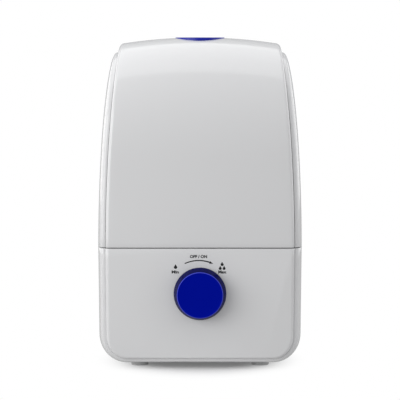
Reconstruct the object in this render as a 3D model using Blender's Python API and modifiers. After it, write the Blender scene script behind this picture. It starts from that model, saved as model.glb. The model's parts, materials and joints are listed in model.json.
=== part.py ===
"""Cool mist humidifier, modelled as the separate pieces that it is put together from.

Metres, +Z up, the front faces -Y. The origin is at the centre of the box that holds the
object, at the height of the surface that it stands on. Every piece hangs from one empty on
the body's own vertical centre line, so the places below are measured from that line.
"""

import math

import bmesh
import bpy

MM = 0.001

# ---- driving dimensions -------------------------------------------------------------------
WIDTH = 200.6 * MM
DEPTH = 170 * MM
HEIGHT = 321.4 * MM
SEAM_HEIGHT = 118.4 * MM
SEAM_GAP = 0.9 * MM
FOOT_HEIGHT = 4 * MM
WALL = 2.5 * MM
GAP = 0.3 * MM

# The ribbon is the skin that runs up the front, over the crown and down the back.
SIDE_BULGE = 8.4 * MM
SIDE_FULLNESS = 3.6
RIBBON_EDGE_WIDTH = 3.5 * MM
RIBBON_EDGE_DEPTH = 4 * MM
EAR_DROP = 6.5 * MM
RIBBON_RETURN = 5 * MM
RIBBON_TAPER = 11 * MM
TAPER_POWER = 1.9
CROWN_RISE = 119 * MM
CROWN_FULLNESS = 2.3
CROWN_ARCH_RADIUS = 500 * MM
BASE_TAPER = 1.2 * MM
BASE_CORNER_RADIUS = 28 * MM
BASE_UNDERSIDE_SHARE = 0.72
BELT_START = 0.97

FOOT_RADIUS = 8.5 * MM
FOOT_SIDE_INSET = 41 * MM
FOOT_FRONT_INSET = 37 * MM
FOOT_SOCKET = 1 * MM
FLOOR_SIDE_INSET = 31 * MM
FLOOR_FRONT_INSET = 25 * MM

KNOB_RADIUS = 25.5 * MM
KNOB_FACE_RADIUS = 22.4 * MM
KNOB_PROTRUSION = 16 * MM
KNOB_HEIGHT = SEAM_HEIGHT - 44.2 * MM
SHAFT_RADIUS = 3 * MM
POT_RADIUS = 8.5 * MM

NOZZLE_RADIUS = 24.5 * MM
NOZZLE_CAP_RADIUS = 19.6 * MM
CHIMNEY_BORE = 17 * MM
CHIMNEY_WALL = 2.3 * MM
BELL_RADIUS = 33 * MM

BASIN_FLOOR = SEAM_HEIGHT - 32 * MM
BASIN_SIDE_INSET = 16 * MM
BASIN_FRONT_INSET = 27 * MM
BASIN_BACK_INSET = 15 * MM
NECK_BORE = 15.5 * MM
NECK_WALL = 2 * MM
CAP_WALL = 2.8 * MM
CAP_FACE_HEIGHT = SEAM_HEIGHT - 18 * MM
VALVE_LIFT = 4 * MM
FLOAT_TRAVEL = 6 * MM
FLOAT_RADIUS = 10 * MM

TRANSDUCER_RADIUS = 10 * MM
TRANSDUCER_SETBACK = -12 * MM
SINK_DEPTH = BASIN_FLOOR * 17 / 86.4
SINK_FINS = 3
FAN_SIZE = 50 * MM
FAN_DEPTH = 15 * MM
FAN_WALL = 1.5 * MM
FAN_SPOKE = 3 * MM
FAN_HUB_RADIUS = 8 * MM
FAN_VANES = 7
FAN_VANE_PITCH = math.radians(28)
FILTER_THICKNESS = 3 * MM
DUCT_WALL = 1.5 * MM
FAN_SETBACK = 26 * MM
STACK_SETBACK = 22 * MM
STACK_SIZE = (18 * MM, 12 * MM)

GLAND_BORE = 3.6 * MM
GLAND_PROUD = 1.5 * MM
GLAND_HEIGHT = 28 * MM
GLAND_SIDE = -55 * MM
GLAND_WALL = 2 * MM
BOARD_THICKNESS = 1.6 * MM
BOARD_STANDOFF = 5 * MM
DRIVER_BOARD = (56 * MM, 42 * MM, BOARD_THICKNESS)
POWER_BOARD = (44 * MM, 50 * MM, BOARD_THICKNESS)
POWER_BOARD_INSET = 47 * MM
TRANSFORMER_CLEARANCE = 4.3 * MM
TRANSFORMER_WINDING = (34 * MM, 26 * MM, 40 * MM)
TRANSFORMER_CORE = (42 * MM, 14 * MM, 34 * MM)
TRANSFORMER_HEIGHT = 22 * MM

ROUND_STEPS = 24
CORNER_STEPS = 6
NORMAL_WEIGHT = 80
BIG_ROUND_STEPS = 32

# ---- sizes worked out from them -----------------------------------------------------------
RIBBON_HALF = WIDTH / 2 - SIDE_BULGE - GAP
EAR_HEIGHT = HEIGHT - EAR_DROP - RIBBON_HALF ** 2 / (2 * CROWN_ARCH_RADIUS)
SPRING_HEIGHT = HEIGHT - CROWN_RISE
BODY_CENTRE_Y = (KNOB_PROTRUSION - GLAND_PROUD) / 2
TANK_BOTTOM = SEAM_HEIGHT + SEAM_GAP / 2
BASE_TOP = SEAM_HEIGHT - SEAM_GAP / 2
SIDE_HALF_DEPTH = DEPTH / 2 - RIBBON_EDGE_DEPTH
SIDE_RISE = EAR_HEIGHT - SPRING_HEIGHT


def new_collection(name):
    collection = bpy.data.collections.new(name)
    bpy.context.scene.collection.children.link(collection)
    return collection


for old in list(bpy.data.objects):
    bpy.data.objects.remove(old, do_unlink=True)
PARTS = new_collection("cool_mist_humidifier")
CUTTERS = new_collection("cutters")
BODY_CENTRE = bpy.data.objects.new("body_centre_line", None)
BODY_CENTRE.location = (0, BODY_CENTRE_Y, 0)
PARTS.objects.link(BODY_CENTRE)


def make_material(name, colour, roughness, metallic=0.0):
    material = bpy.data.materials.new(name)
    material.use_nodes = True
    shader = material.node_tree.nodes["Principled BSDF"]
    shader.inputs["Base Color"].default_value = (*colour, 1.0)
    shader.inputs["Roughness"].default_value = roughness
    shader.inputs["Metallic"].default_value = metallic
    return material


WHITE = make_material("gloss_white_plastic", (0.80, 0.80, 0.80), 0.18)
INNER_WHITE = make_material("satin_white_plastic", (0.72, 0.73, 0.73), 0.40)
BLUE = make_material("gloss_blue_plastic", (0.005, 0.012, 0.26), 0.16)
GREY_RUBBER = make_material("grey_rubber", (0.30, 0.30, 0.30), 0.75)
BLACK_PLASTIC = make_material("black_plastic", (0.02, 0.02, 0.02), 0.45)
STEEL = make_material("bright_steel", (0.60, 0.60, 0.62), 0.28, 1.0)
ALUMINIUM = make_material("cast_aluminium", (0.62, 0.63, 0.64), 0.42, 1.0)
BRASS = make_material("brass", (0.70, 0.52, 0.22), 0.30, 1.0)
BOARD_GREEN = make_material("circuit_board", (0.02, 0.13, 0.06), 0.45)
SILICONE = make_material("clear_grey_silicone", (0.55, 0.56, 0.58), 0.55)
FOAM = make_material("filter_foam", (0.05, 0.05, 0.055), 0.95)


def place(obj, material, at=(0, 0, 0), collection=None):
    """Puts a new object in its collection, on the body's centre line, with its material."""
    for holder in list(obj.users_collection):
        holder.objects.unlink(obj)
    (collection or PARTS).objects.link(obj)
    obj.parent = BODY_CENTRE
    obj.location = at
    if material:
        obj.data.materials.clear()
        obj.data.materials.append(material)
    if collection is CUTTERS:
        obj.hide_render = True
        obj.display_type = "WIRE"
    return obj


def object_from(bm, name, material, at=(0, 0, 0), collection=None):
    mesh = bpy.data.meshes.new(name)
    bm.to_mesh(mesh)
    bm.free()
    return place(bpy.data.objects.new(name, mesh), material, at, collection)


def turned(name, profile, material, at=(0, 0, 0), steps=ROUND_STEPS, closed=False,
           along_y=False, collection=None):
    """A turned piece: the profile runs down the outer side, as (radius, height) pairs.

    A closed profile makes a ring. With along_y the heights run towards the front, -Y.
    """
    bm = bmesh.new()
    points = [bm.verts.new((radius, 0, height)) for radius, height in profile]
    for first, second in zip(points, points[1:]):
        bm.edges.new((first, second))
    if closed:
        bm.edges.new((points[-1], points[0]))
    obj = object_from(bm, name, material, at, collection)
    screw = obj.modifiers.new("turn", "SCREW")
    screw.angle = math.tau
    screw.steps = steps
    screw.render_steps = steps
    screw.use_merge_vertices = True
    screw.merge_threshold = 0.00001
    screw.use_smooth_shade = True
    shade = obj.modifiers.new("even_normals", "WEIGHTED_NORMAL")
    shade.weight = NORMAL_WEIGHT
    if along_y:
        obj.rotation_euler = (math.pi / 2, 0, 0)
    return obj


def ring(name, inner, outer, low, high, material, at=(0, 0, 0), steps=ROUND_STEPS,
         along_y=False, collection=None):
    profile = [(outer, high), (outer, low), (inner, low), (inner, high)]
    return turned(name, profile, material, at, steps, True, along_y, collection)


def disc(name, radius, low, high, material, at=(0, 0, 0), steps=ROUND_STEPS,
         along_y=False, collection=None):
    profile = [(0, high), (radius, high), (radius, low), (0, low)]
    return turned(name, profile, material, at, steps, False, along_y, collection)


def rounded_box(name, size, centre, corner, material, collection=None, steps=3):
    """A box whose four upright edges are rounded, centred on the given point."""
    bm = bmesh.new()
    bmesh.ops.create_cube(bm, size=1)
    for vert in bm.verts:
        vert.co = [part * side for part, side in zip(vert.co, size)]
    if corner > 0:
        upright = [e for e in bm.edges if abs(e.verts[0].co.z - e.verts[1].co.z) > size[2] / 2]
        bmesh.ops.bevel(bm, geom=upright, offset=corner, segments=steps, affect="EDGES",
                        profile=0.5)
    return object_from(bm, name, material, centre, collection)


def combine(target, tool, operation):
    """Adds a live Boolean that joins the tool to the target or cuts it away."""
    modifier = target.modifiers.new(operation.lower(), "BOOLEAN")
    modifier.object = tool
    modifier.operation = operation
    modifier.solver = "EXACT"
    if tool.name not in CUTTERS.objects:
        place(tool, None, tool.location.copy(), CUTTERS)


def surface(rows, name, material, thickness):
    """An open surface through rows of points, given a wall that grows inwards."""
    bm = bmesh.new()
    grid = [[bm.verts.new(point) for point in row] for row in rows]
    for upper, lower in zip(grid, grid[1:]):
        for i in range(len(upper) - 1):
            face = bm.faces.new((upper[i], upper[i + 1], lower[i + 1], lower[i]))
            face.smooth = True
    obj = object_from(bm, name, material)
    shell = obj.modifiers.new("wall", "SOLIDIFY")
    shell.thickness = thickness
    shell.offset = -1
    shell.use_even_offset = True
    return obj


# ---- the outer form -----------------------------------------------------------------------
def rise_share(z):
    """0 at the seam, 1 at the top of the side skins."""
    return max(0.0, (z - SEAM_HEIGHT) / (EAR_HEIGHT - SEAM_HEIGHT))


def ribbon_half(z):
    """Half the ribbon's width: it narrows upwards from the seam, and a little downwards."""
    if z < SEAM_HEIGHT:
        return RIBBON_HALF - BASE_TAPER * (SEAM_HEIGHT - z) / SEAM_HEIGHT
    return RIBBON_HALF - RIBBON_TAPER * rise_share(z) ** TAPER_POWER


def bulge(share):
    """How far a side stands out of the ribbon, at a share of the way to its own edge."""
    return SIDE_BULGE * max(0.0, 1 - min(1.0, share) ** SIDE_FULLNESS) ** (1 / SIDE_FULLNESS)


def crown_point(angle, x, depth):
    """A point (y, z) of the ribbon's arch, sunk by depth along the arch's own normal."""
    power = 2 / CROWN_FULLNESS
    half = DEPTH / 2
    rise = CROWN_RISE - x * x / (2 * CROWN_ARCH_RADIUS)
    run, lift = math.cos(angle), math.sin(angle)
    y = -half * math.copysign(abs(run) ** power, run)
    z = rise * lift ** power
    slope_y = -math.copysign(abs(run) ** (2 - power), run) / half
    slope_z = lift ** (2 - power) / rise
    length = math.hypot(slope_y, slope_z)
    return y - depth * slope_y / length, SPRING_HEIGHT + z - depth * slope_z / length


def ribbon_section(edge_steps=2, face_steps=4):
    """(inset from the ribbon's side, depth) pairs from the middle of the face to its return."""
    section = [(None, share / face_steps) for share in range(face_steps)]
    for step in range(edge_steps + 1):
        turn = math.pi / 2 * step / edge_steps
        inset = RIBBON_EDGE_WIDTH * (1 - math.sin(turn))
        section.append((inset, RIBBON_EDGE_DEPTH * (1 - math.cos(turn))))
    section.append((0.0, RIBBON_EDGE_DEPTH + RIBBON_RETURN))
    return section


def ribbon_rows():
    """Rows across the tank's ribbon, from the front seam over the crown to the back seam."""
    leg = [TANK_BOTTOM + (SPRING_HEIGHT - TANK_BOTTOM) * step / 4 for step in range(4)]
    arch = [math.pi * step / 16 for step in range(17)]
    stations = [("front", z) for z in leg] + [("arch", a) for a in arch]
    stations += [("back", z) for z in reversed(leg)]
    section = ribbon_section()
    rows = []
    for kind, value in stations:
        row = []
        for inset, depth in section:
            sunk = depth if inset is not None else 0.0
            x = ribbon_half(SPRING_HEIGHT) * 0.5
            for _ in range(4):
                if kind == "arch":
                    y, z = crown_point(value, x, sunk)
                else:
                    facing = -1 if kind == "front" else 1
                    y, z = facing * (DEPTH / 2 - sunk), value
                side = ribbon_half(z)
                flat = side - RIBBON_EDGE_WIDTH
                x = flat * depth if inset is None else side - inset
            row.append((x, y, z))
        rows.append([(-x, y, z) for x, y, z in reversed(row[1:])] + row)
    return rows


def side_rows(side):
    """Rows up one side skin of the tank, each from its front edge to its back edge."""
    heights = [TANK_BOTTOM + (SPRING_HEIGHT - TANK_BOTTOM) * step / 3 for step in range(3)]
    power = 2 / CROWN_FULLNESS
    for degrees in (0, 16, 30, 43, 55, 66, 75, 82, 87, 89.9):
        heights.append(SPRING_HEIGHT + SIDE_RISE * math.sin(math.radians(degrees)) ** power)
    rows = []
    for z in heights:
        above = max(0.0, (z - SPRING_HEIGHT) / SIDE_RISE)
        half = SIDE_HALF_DEPTH * (1 - above ** CROWN_FULLNESS) ** (1 / CROWN_FULLNESS)
        row = []
        for degrees in (-90, -87, -79, -66, -48, -24, 0, 24, 48, 66, 79, 87, 90):
            y = half * math.sin(math.radians(degrees))
            share = (abs(y) / SIDE_HALF_DEPTH) ** CROWN_FULLNESS + above ** CROWN_FULLNESS
            share = share ** (1 / CROWN_FULLNESS)
            row.append((side * (ribbon_half(z) + GAP + bulge(share)), y, z))
        rows.append(row if side < 0 else row[::-1])
    return rows[::-1]


def base_outline(inset):
    """(x, z) from the left seam down, round the lower corners and up to the right seam.

    The underside is drawn in by only a share of the inset, so it stays flatter than the sides.
    """
    raised = inset * BASE_UNDERSIDE_SHARE
    floor = FOOT_HEIGHT + raised
    centre_z = FOOT_HEIGHT + BASE_CORNER_RADIUS
    centre_x = ribbon_half(centre_z) + GAP + SIDE_BULGE - BASE_CORNER_RADIUS
    half = []
    for z in (BASE_TOP, (BASE_TOP + centre_z) / 2):
        half.append((ribbon_half(z) + GAP + SIDE_BULGE - inset, z))
    for step in range(CORNER_STEPS + 1):
        turn = math.pi / 2 * step / CORNER_STEPS
        x = centre_x + (BASE_CORNER_RADIUS - inset) * math.cos(turn)
        half.append((x, centre_z - (BASE_CORNER_RADIUS - raised) * math.sin(turn)))
    half.append((centre_x / 2, floor))
    return [(-x, z) for x, z in half] + [(0, floor)] + half[::-1]


def base_rings():
    """The base's outline at each depth, from the front face to the back face."""
    stations = []
    for step in range(4):
        turn = math.pi / 2 * step / 3
        inset = GAP + SIDE_BULGE + RIBBON_EDGE_WIDTH * (1 - math.sin(turn))
        stations.append((DEPTH / 2 - RIBBON_EDGE_DEPTH * (1 - math.cos(turn)), inset))
    stations.append((SIDE_HALF_DEPTH - GAP, SIDE_BULGE - bulge(BELT_START)))
    for degrees in (76, 62, 48, 32, 16):
        share = math.sin(math.radians(degrees))
        stations.append((SIDE_HALF_DEPTH * share, SIDE_BULGE - bulge(share)))
    front = [(-y, inset) for y, inset in stations]
    middle = [(0.0, 0.0)]
    return front + middle + [(-y, inset) for y, inset in front[::-1]]


def inner_outline(inset, past_return=False):
    """The (x, y) outline, at the seam, of a plate that fits inside the skins.

    With past_return it also keeps clear of the ribbon's returns, which only the tank has.
    """
    side = RIBBON_HALF - inset
    edge = SIDE_HALF_DEPTH - inset
    limit = SIDE_HALF_DEPTH - RIBBON_RETURN - inset if past_return else edge
    right = [(side - RIBBON_EDGE_WIDTH, -(DEPTH / 2 - inset))]
    if past_return:
        right.append((side, -limit))
    for degrees in (-90, -76, -62, -48, -32, -16, 0, 16, 32, 48, 62, 76, 90):
        y = limit * math.sin(math.radians(degrees))
        right.append((side + bulge(abs(y) / edge), y))
    if past_return:
        right.append((side, limit))
    right.append((side - RIBBON_EDGE_WIDTH, DEPTH / 2 - inset))
    return right + [(-x, y) for x, y in right[::-1]]


def plate(name, outline, low, high, material, collection=None):
    bm = bmesh.new()
    bottom = bm.faces.new([bm.verts.new((x, y, low)) for x, y in outline])
    made = bmesh.ops.extrude_face_region(bm, geom=[bottom])["geom"]
    for vert in [item for item in made if isinstance(item, bmesh.types.BMVert)]:
        vert.co.z = high
    bmesh.ops.recalc_face_normals(bm, faces=bm.faces)
    return object_from(bm, name, material, (0, 0, 0), collection)


# ---- tank ---------------------------------------------------------------------------------
PLATE_INSET = WALL + 2 * GAP
BASIN_HALF = WIDTH / 2 - BASIN_SIDE_INSET
CAP_RADIUS = NECK_BORE + NECK_WALL + GAP + CAP_WALL
CAP_X = -(BASIN_HALF - CAP_RADIUS - 3 * MM)
FLOAT_X = BASIN_HALF - FLOAT_RADIUS - 16 * MM
FLOAT_Y = 45 * MM
FLOOR_LOW = TANK_BOTTOM + 2 * MM
FLOOR_HIGH = FLOOR_LOW + WALL
CHIMNEY_OUTER = CHIMNEY_BORE + CHIMNEY_WALL
CUP_OUTER = NOZZLE_RADIUS + GAP + CHIMNEY_WALL
CUP_DROP = (CUP_OUTER / (DEPTH / 2)) ** CROWN_FULLNESS * CROWN_RISE / CROWN_FULLNESS
CUP_TOP = HEIGHT - WALL - CUP_DROP - 5 * GAP
CUP_FLOOR = HEIGHT - 9 * MM
SEAL_TOP = FLOOR_LOW - GAP
BELL_TOP = SEAL_TOP - 1.2 * MM - GAP


def make_tank():
    wrap = surface(ribbon_rows(), "tank_wrap", WHITE, WALL)
    bore = disc("crown_cutter", NOZZLE_RADIUS + GAP, HEIGHT - 30 * MM, HEIGHT + 5 * MM, None,
                steps=BIG_ROUND_STEPS, collection=CUTTERS)
    combine(wrap, bore, "DIFFERENCE")
    surface(side_rows(-1), "tank_side_left", WHITE, WALL)
    surface(side_rows(1), "tank_side_right", WHITE, WALL)

    floor = plate("tank_floor", inner_outline(PLATE_INSET, True), FLOOR_LOW, FLOOR_HIGH,
                  INNER_WHITE)
    neck_low = CAP_FACE_HEIGHT + CAP_WALL + 3.6 * MM
    combine(floor, disc("neck_tool", NECK_BORE + NECK_WALL, neck_low, FLOOR_HIGH - GAP, None,
                        at=(CAP_X, 0, 0)), "UNION")
    combine(floor, disc("neck_cutter", NECK_BORE, neck_low - WALL, FLOOR_HIGH + WALL, None,
                        at=(CAP_X, 0, 0)), "DIFFERENCE")
    combine(floor, disc("chimney_cutter", CHIMNEY_OUTER + GAP, FLOOR_LOW - WALL,
                        FLOOR_HIGH + WALL, None), "DIFFERENCE")

    # The chimney opens into a bell over the mist chamber, and into a cup under the crown.
    profile = [
        (CUP_OUTER, CUP_TOP),
        (CUP_OUTER, CUP_FLOOR - CHIMNEY_WALL),
        (CHIMNEY_OUTER, CUP_FLOOR - 3 * CHIMNEY_WALL),
        (CHIMNEY_OUTER, BELL_TOP),
        (BELL_RADIUS, BELL_TOP),
        (BELL_RADIUS, CAP_FACE_HEIGHT + WALL),
        (BELL_RADIUS - 2 * MM, CAP_FACE_HEIGHT + WALL),
        (BELL_RADIUS - 2 * MM, BELL_TOP - 2 * MM),
        (CHIMNEY_BORE, BELL_TOP - 2 * MM),
        (CHIMNEY_BORE, CUP_FLOOR),
        (NOZZLE_RADIUS + GAP, CUP_FLOOR),
        (NOZZLE_RADIUS + GAP, CUP_TOP),
    ]
    turned("mist_chimney", profile, INNER_WHITE, closed=True)
    ring("chimney_seal", CHIMNEY_OUTER + GAP, BELL_RADIUS - 6 * MM, BELL_TOP + GAP, SEAL_TOP,
         SILICONE)


def make_cap_and_valve():
    """The screw cap in the tank's filler neck, with the valve that the base's pin opens."""
    at = (CAP_X, 0, 0)
    face = CAP_FACE_HEIGHT
    seat = face + CAP_WALL
    inner = NECK_BORE + NECK_WALL + GAP
    skirt_top = FLOOR_LOW - 2 * MM
    cap = turned("tank_cap", [(0, seat), (inner, seat), (inner, skirt_top),
                              (CAP_RADIUS, skirt_top), (CAP_RADIUS, face), (0, face)],
                 INNER_WHITE, at, BIG_ROUND_STEPS)
    bridge_top = FLOOR_HIGH + 2 * MM
    bridge_low = bridge_top - 2 * MM
    post_x = NECK_BORE - 3.5 * MM
    for side in (-1, 1):
        combine(cap, disc("bridge_post_tool", 1.6 * MM, seat - 1 * MM, bridge_low + 1 * MM,
                          None, (CAP_X + side * post_x, 0, 0), 12), "UNION")
    combine(cap, rounded_box("bridge_tool", (2 * post_x + 4.4 * MM, 6 * MM, 2 * MM),
                             (CAP_X, 0, bridge_low + 1 * MM), 1.5 * MM, None), "UNION")
    combine(cap, disc("valve_hole_cutter", 5 * MM, face - WALL, seat + 1 * MM, None, at, 24),
            "DIFFERENCE")
    combine(cap, disc("guide_hole_cutter", 2.4 * MM, bridge_low - 1 * MM,
                      bridge_top + 1 * MM, None, at, 16), "DIFFERENCE")
    ring("cap_gasket", NECK_BORE + GAP, NECK_BORE + NECK_WALL, seat + GAP,
         seat + 3.6 * MM - GAP, SILICONE, at)

    lifted = seat + VALVE_LIFT + GAP
    stem_low = face - 0.7 * MM
    turned("valve_stem", [(0, bridge_top + 3 * MM), (2 * MM, bridge_top + 3 * MM),
                          (2 * MM, lifted + 4 * MM), (6.5 * MM, lifted + 4 * MM),
                          (6.5 * MM, lifted + 2 * MM + GAP), (2 * MM, lifted + 2 * MM + GAP),
                          (2 * MM, stem_low), (0, stem_low)], INNER_WHITE, at, 24)
    ring("valve_seal", 2 * MM + GAP, 7.5 * MM, lifted, lifted + 2 * MM, SILICONE, at, 24)
    spring_low = lifted + 4 * MM + GAP
    coil("valve_spring", 4 * MM, 0.4 * MM, spring_low, bridge_low - GAP, 5, at)
    return stem_low


def coil(name, radius, wire, low, high, turns, at):
    """A round-wire spring with a flat end turn at each end."""
    curve = bpy.data.curves.new(name, "CURVE")
    curve.dimensions = "3D"
    curve.bevel_depth = wire
    curve.bevel_resolution = 1
    curve.use_fill_caps = True
    count = turns * 12
    line = curve.splines.new("POLY")
    line.points.add(count)
    for step in range(count + 1):
        angle = math.tau * step / 12
        height = low + wire + (high - low - 2 * wire) * step / count
        point = (radius * math.cos(angle), radius * math.sin(angle), height, 1)
        line.points[step].co = point
    place(bpy.data.objects.new(name, curve), STEEL, at)


def make_nozzle():
    recess = HEIGHT - 4 * MM
    spigot = CHIMNEY_BORE - GAP
    bore = spigot - 2 * MM
    seat = CUP_FLOOR + 1.8 * MM
    turned("nozzle_collar", [(NOZZLE_RADIUS, HEIGHT), (NOZZLE_RADIUS, seat), (spigot, seat),
                             (spigot, CUP_FLOOR - 14 * MM), (bore, CUP_FLOOR - 14 * MM),
                             (bore, recess), (NOZZLE_CAP_RADIUS + GAP, recess),
                             (NOZZLE_CAP_RADIUS + GAP, HEIGHT)],
           BLUE, steps=BIG_ROUND_STEPS, closed=True)
    ring("nozzle_seal", spigot + GAP, NOZZLE_RADIUS - 1 * MM, CUP_FLOOR + GAP, seat - GAP,
         SILICONE, steps=BIG_ROUND_STEPS)
    sleeve = bore - GAP
    cap = turned("nozzle_cap", [(0, HEIGHT), (NOZZLE_CAP_RADIUS, HEIGHT),
                                (NOZZLE_CAP_RADIUS, recess + GAP), (sleeve, recess + GAP),
                                (sleeve, recess - 7 * MM), (sleeve - 1.6 * MM, recess - 7 * MM),
                                (sleeve - 1.6 * MM, HEIGHT - 2 * MM), (0, HEIGHT - 2 * MM)],
                 BLUE, steps=BIG_ROUND_STEPS)
    combine(cap, rounded_box("outlet_cutter", (19 * MM, 9 * MM, 12 * MM), (0, -5 * MM, HEIGHT),
                             4.4 * MM, None, steps=5), "DIFFERENCE")


# ---- base ---------------------------------------------------------------------------------
FLOOR_HALF = (WIDTH / 2 - FLOOR_SIDE_INSET, DEPTH / 2 - FLOOR_FRONT_INSET)
FLOOR_TOP = FOOT_HEIGHT + WALL
FOOT_PLACES = [(x * (WIDTH / 2 - FOOT_SIDE_INSET), y * (DEPTH / 2 - FOOT_FRONT_INSET))
               for y in (-1, 1) for x in (-1, 1)]
POST_RADIUS = 4 * MM
SCREW_RADIUS = 1.5 * MM
SCREW_PLACES = [(x * (FLOOR_HALF[0] - 7 * MM), y * (FLOOR_HALF[1] - 29 * MM))
                for y in (-1, 1) for x in (-1, 1)]
SOCKET_PLACES = (("front_left", 0), ("front_right", 1), ("back_left", 2), ("back_right", 3))
GLAND_AT = (GLAND_SIDE, 0, GLAND_HEIGHT)
KNOB_AT = (0, 0, KNOB_HEIGHT)
FACE = DEPTH / 2


def make_base_shell():
    rows = []
    for y, inset in base_rings():
        rows.append([(x, y, z) for x, z in base_outline(inset)])
    bm = bmesh.new()
    grid = [[bm.verts.new(point) for point in row] for row in rows]
    for near, far in zip(grid, grid[1:]):
        for i in range(len(near) - 1):
            face = bm.faces.new((near[i], near[i + 1], far[i + 1], far[i]))
            face.smooth = True
    bm.faces.new(grid[0][::-1])
    bm.faces.new(grid[-1])
    bmesh.ops.recalc_face_normals(bm, faces=bm.faces)
    front = min(bm.faces, key=lambda face: face.calc_center_median().y)
    if front.normal.y > 0:
        bmesh.ops.reverse_faces(bm, faces=bm.faces)
    shell = object_from(bm, "base_shell", WHITE)
    wall = shell.modifiers.new("wall", "SOLIDIFY")
    wall.thickness = WALL
    wall.offset = -1
    wall.use_even_offset = True
    hole = [2 * (half + GAP) for half in FLOOR_HALF]
    combine(shell, rounded_box("floor_cutter", (*hole, 20 * MM), (0, 0, FOOT_HEIGHT),
                               8 * MM + GAP, None), "DIFFERENCE")
    combine(shell, disc("bushing_cutter", SHAFT_RADIUS + 2 * MM, FACE - 8 * MM, FACE + 5 * MM,
                        None, KNOB_AT, 24, True), "DIFFERENCE")
    combine(shell, disc("gland_cutter", GLAND_BORE + GLAND_WALL, -FACE - 5 * MM, -FACE + 8 * MM,
                        None, GLAND_AT, 24, True), "DIFFERENCE")


def make_floor():
    size = (2 * FLOOR_HALF[0], 2 * FLOOR_HALF[1], WALL)
    floor = rounded_box("base_floor", size, (0, 0, FOOT_HEIGHT + WALL / 2), 8 * MM, WHITE)
    slot_pitch = FAN_SIZE / 8
    for step in range(-3, 4):
        combine(floor, rounded_box(f"inlet_cutter_{step + 3}", (3 * MM, FAN_SIZE - 12 * MM, 9 * MM),
                                   (step * slot_pitch, FAN_SETBACK, FLOOR_TOP), 1.4 * MM,
                                   None, steps=1), "DIFFERENCE")
    for label, index in SOCKET_PLACES:
        x, y = FOOT_PLACES[index]
        socket = disc("socket_cutter", FOOT_RADIUS + GAP, 0, FOOT_HEIGHT + FOOT_SOCKET, None,
                      (x, y, 0), 20)
        combine(floor, socket, "DIFFERENCE")
        turned(f"foot_{label}", [(0, FOOT_HEIGHT + FOOT_SOCKET - GAP),
                                 (FOOT_RADIUS, FOOT_HEIGHT + FOOT_SOCKET - GAP),
                                 (FOOT_RADIUS, 0.8 * MM), (FOOT_RADIUS - 0.8 * MM, 0), (0, 0)],
               GREY_RUBBER, (x, y, 0), 20)
        x, y = SCREW_PLACES[index]
        low = FOOT_HEIGHT - 1 * MM
        combine(floor, turned("screw_cutter", [(0, 12 * MM), (SCREW_RADIUS + GAP, 12 * MM),
                                               (SCREW_RADIUS + GAP, FOOT_HEIGHT + 1.2 * MM),
                                               (3.2 * MM, FOOT_HEIGHT + 1.2 * MM),
                                               (3.2 * MM, low), (0, low)], None, (x, y, 0), 16),
                "DIFFERENCE")
        turned(f"floor_screw_{label}", [(0, FLOOR_TOP + 10 * MM),
                                        (SCREW_RADIUS, FLOOR_TOP + 10 * MM),
                                        (SCREW_RADIUS, FOOT_HEIGHT + 0.9 * MM),
                                        (2.9 * MM, FOOT_HEIGHT + 0.9 * MM),
                                        (2.9 * MM, FOOT_HEIGHT), (0, FOOT_HEIGHT)],
               STEEL, (x, y, 0), 16)


POCKET_FLOOR = BASIN_FLOOR - 10.5 * MM
POCKET_LOW = POCKET_FLOOR - WALL
POCKET_RADIUS = 16 * MM
BASIN_LOW = BASIN_FLOOR - WALL
RIM_TOP = BASE_TOP
BASIN_FRONT = -(DEPTH / 2 - BASIN_FRONT_INSET)
BASIN_BACK = DEPTH / 2 - BASIN_BACK_INSET


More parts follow.
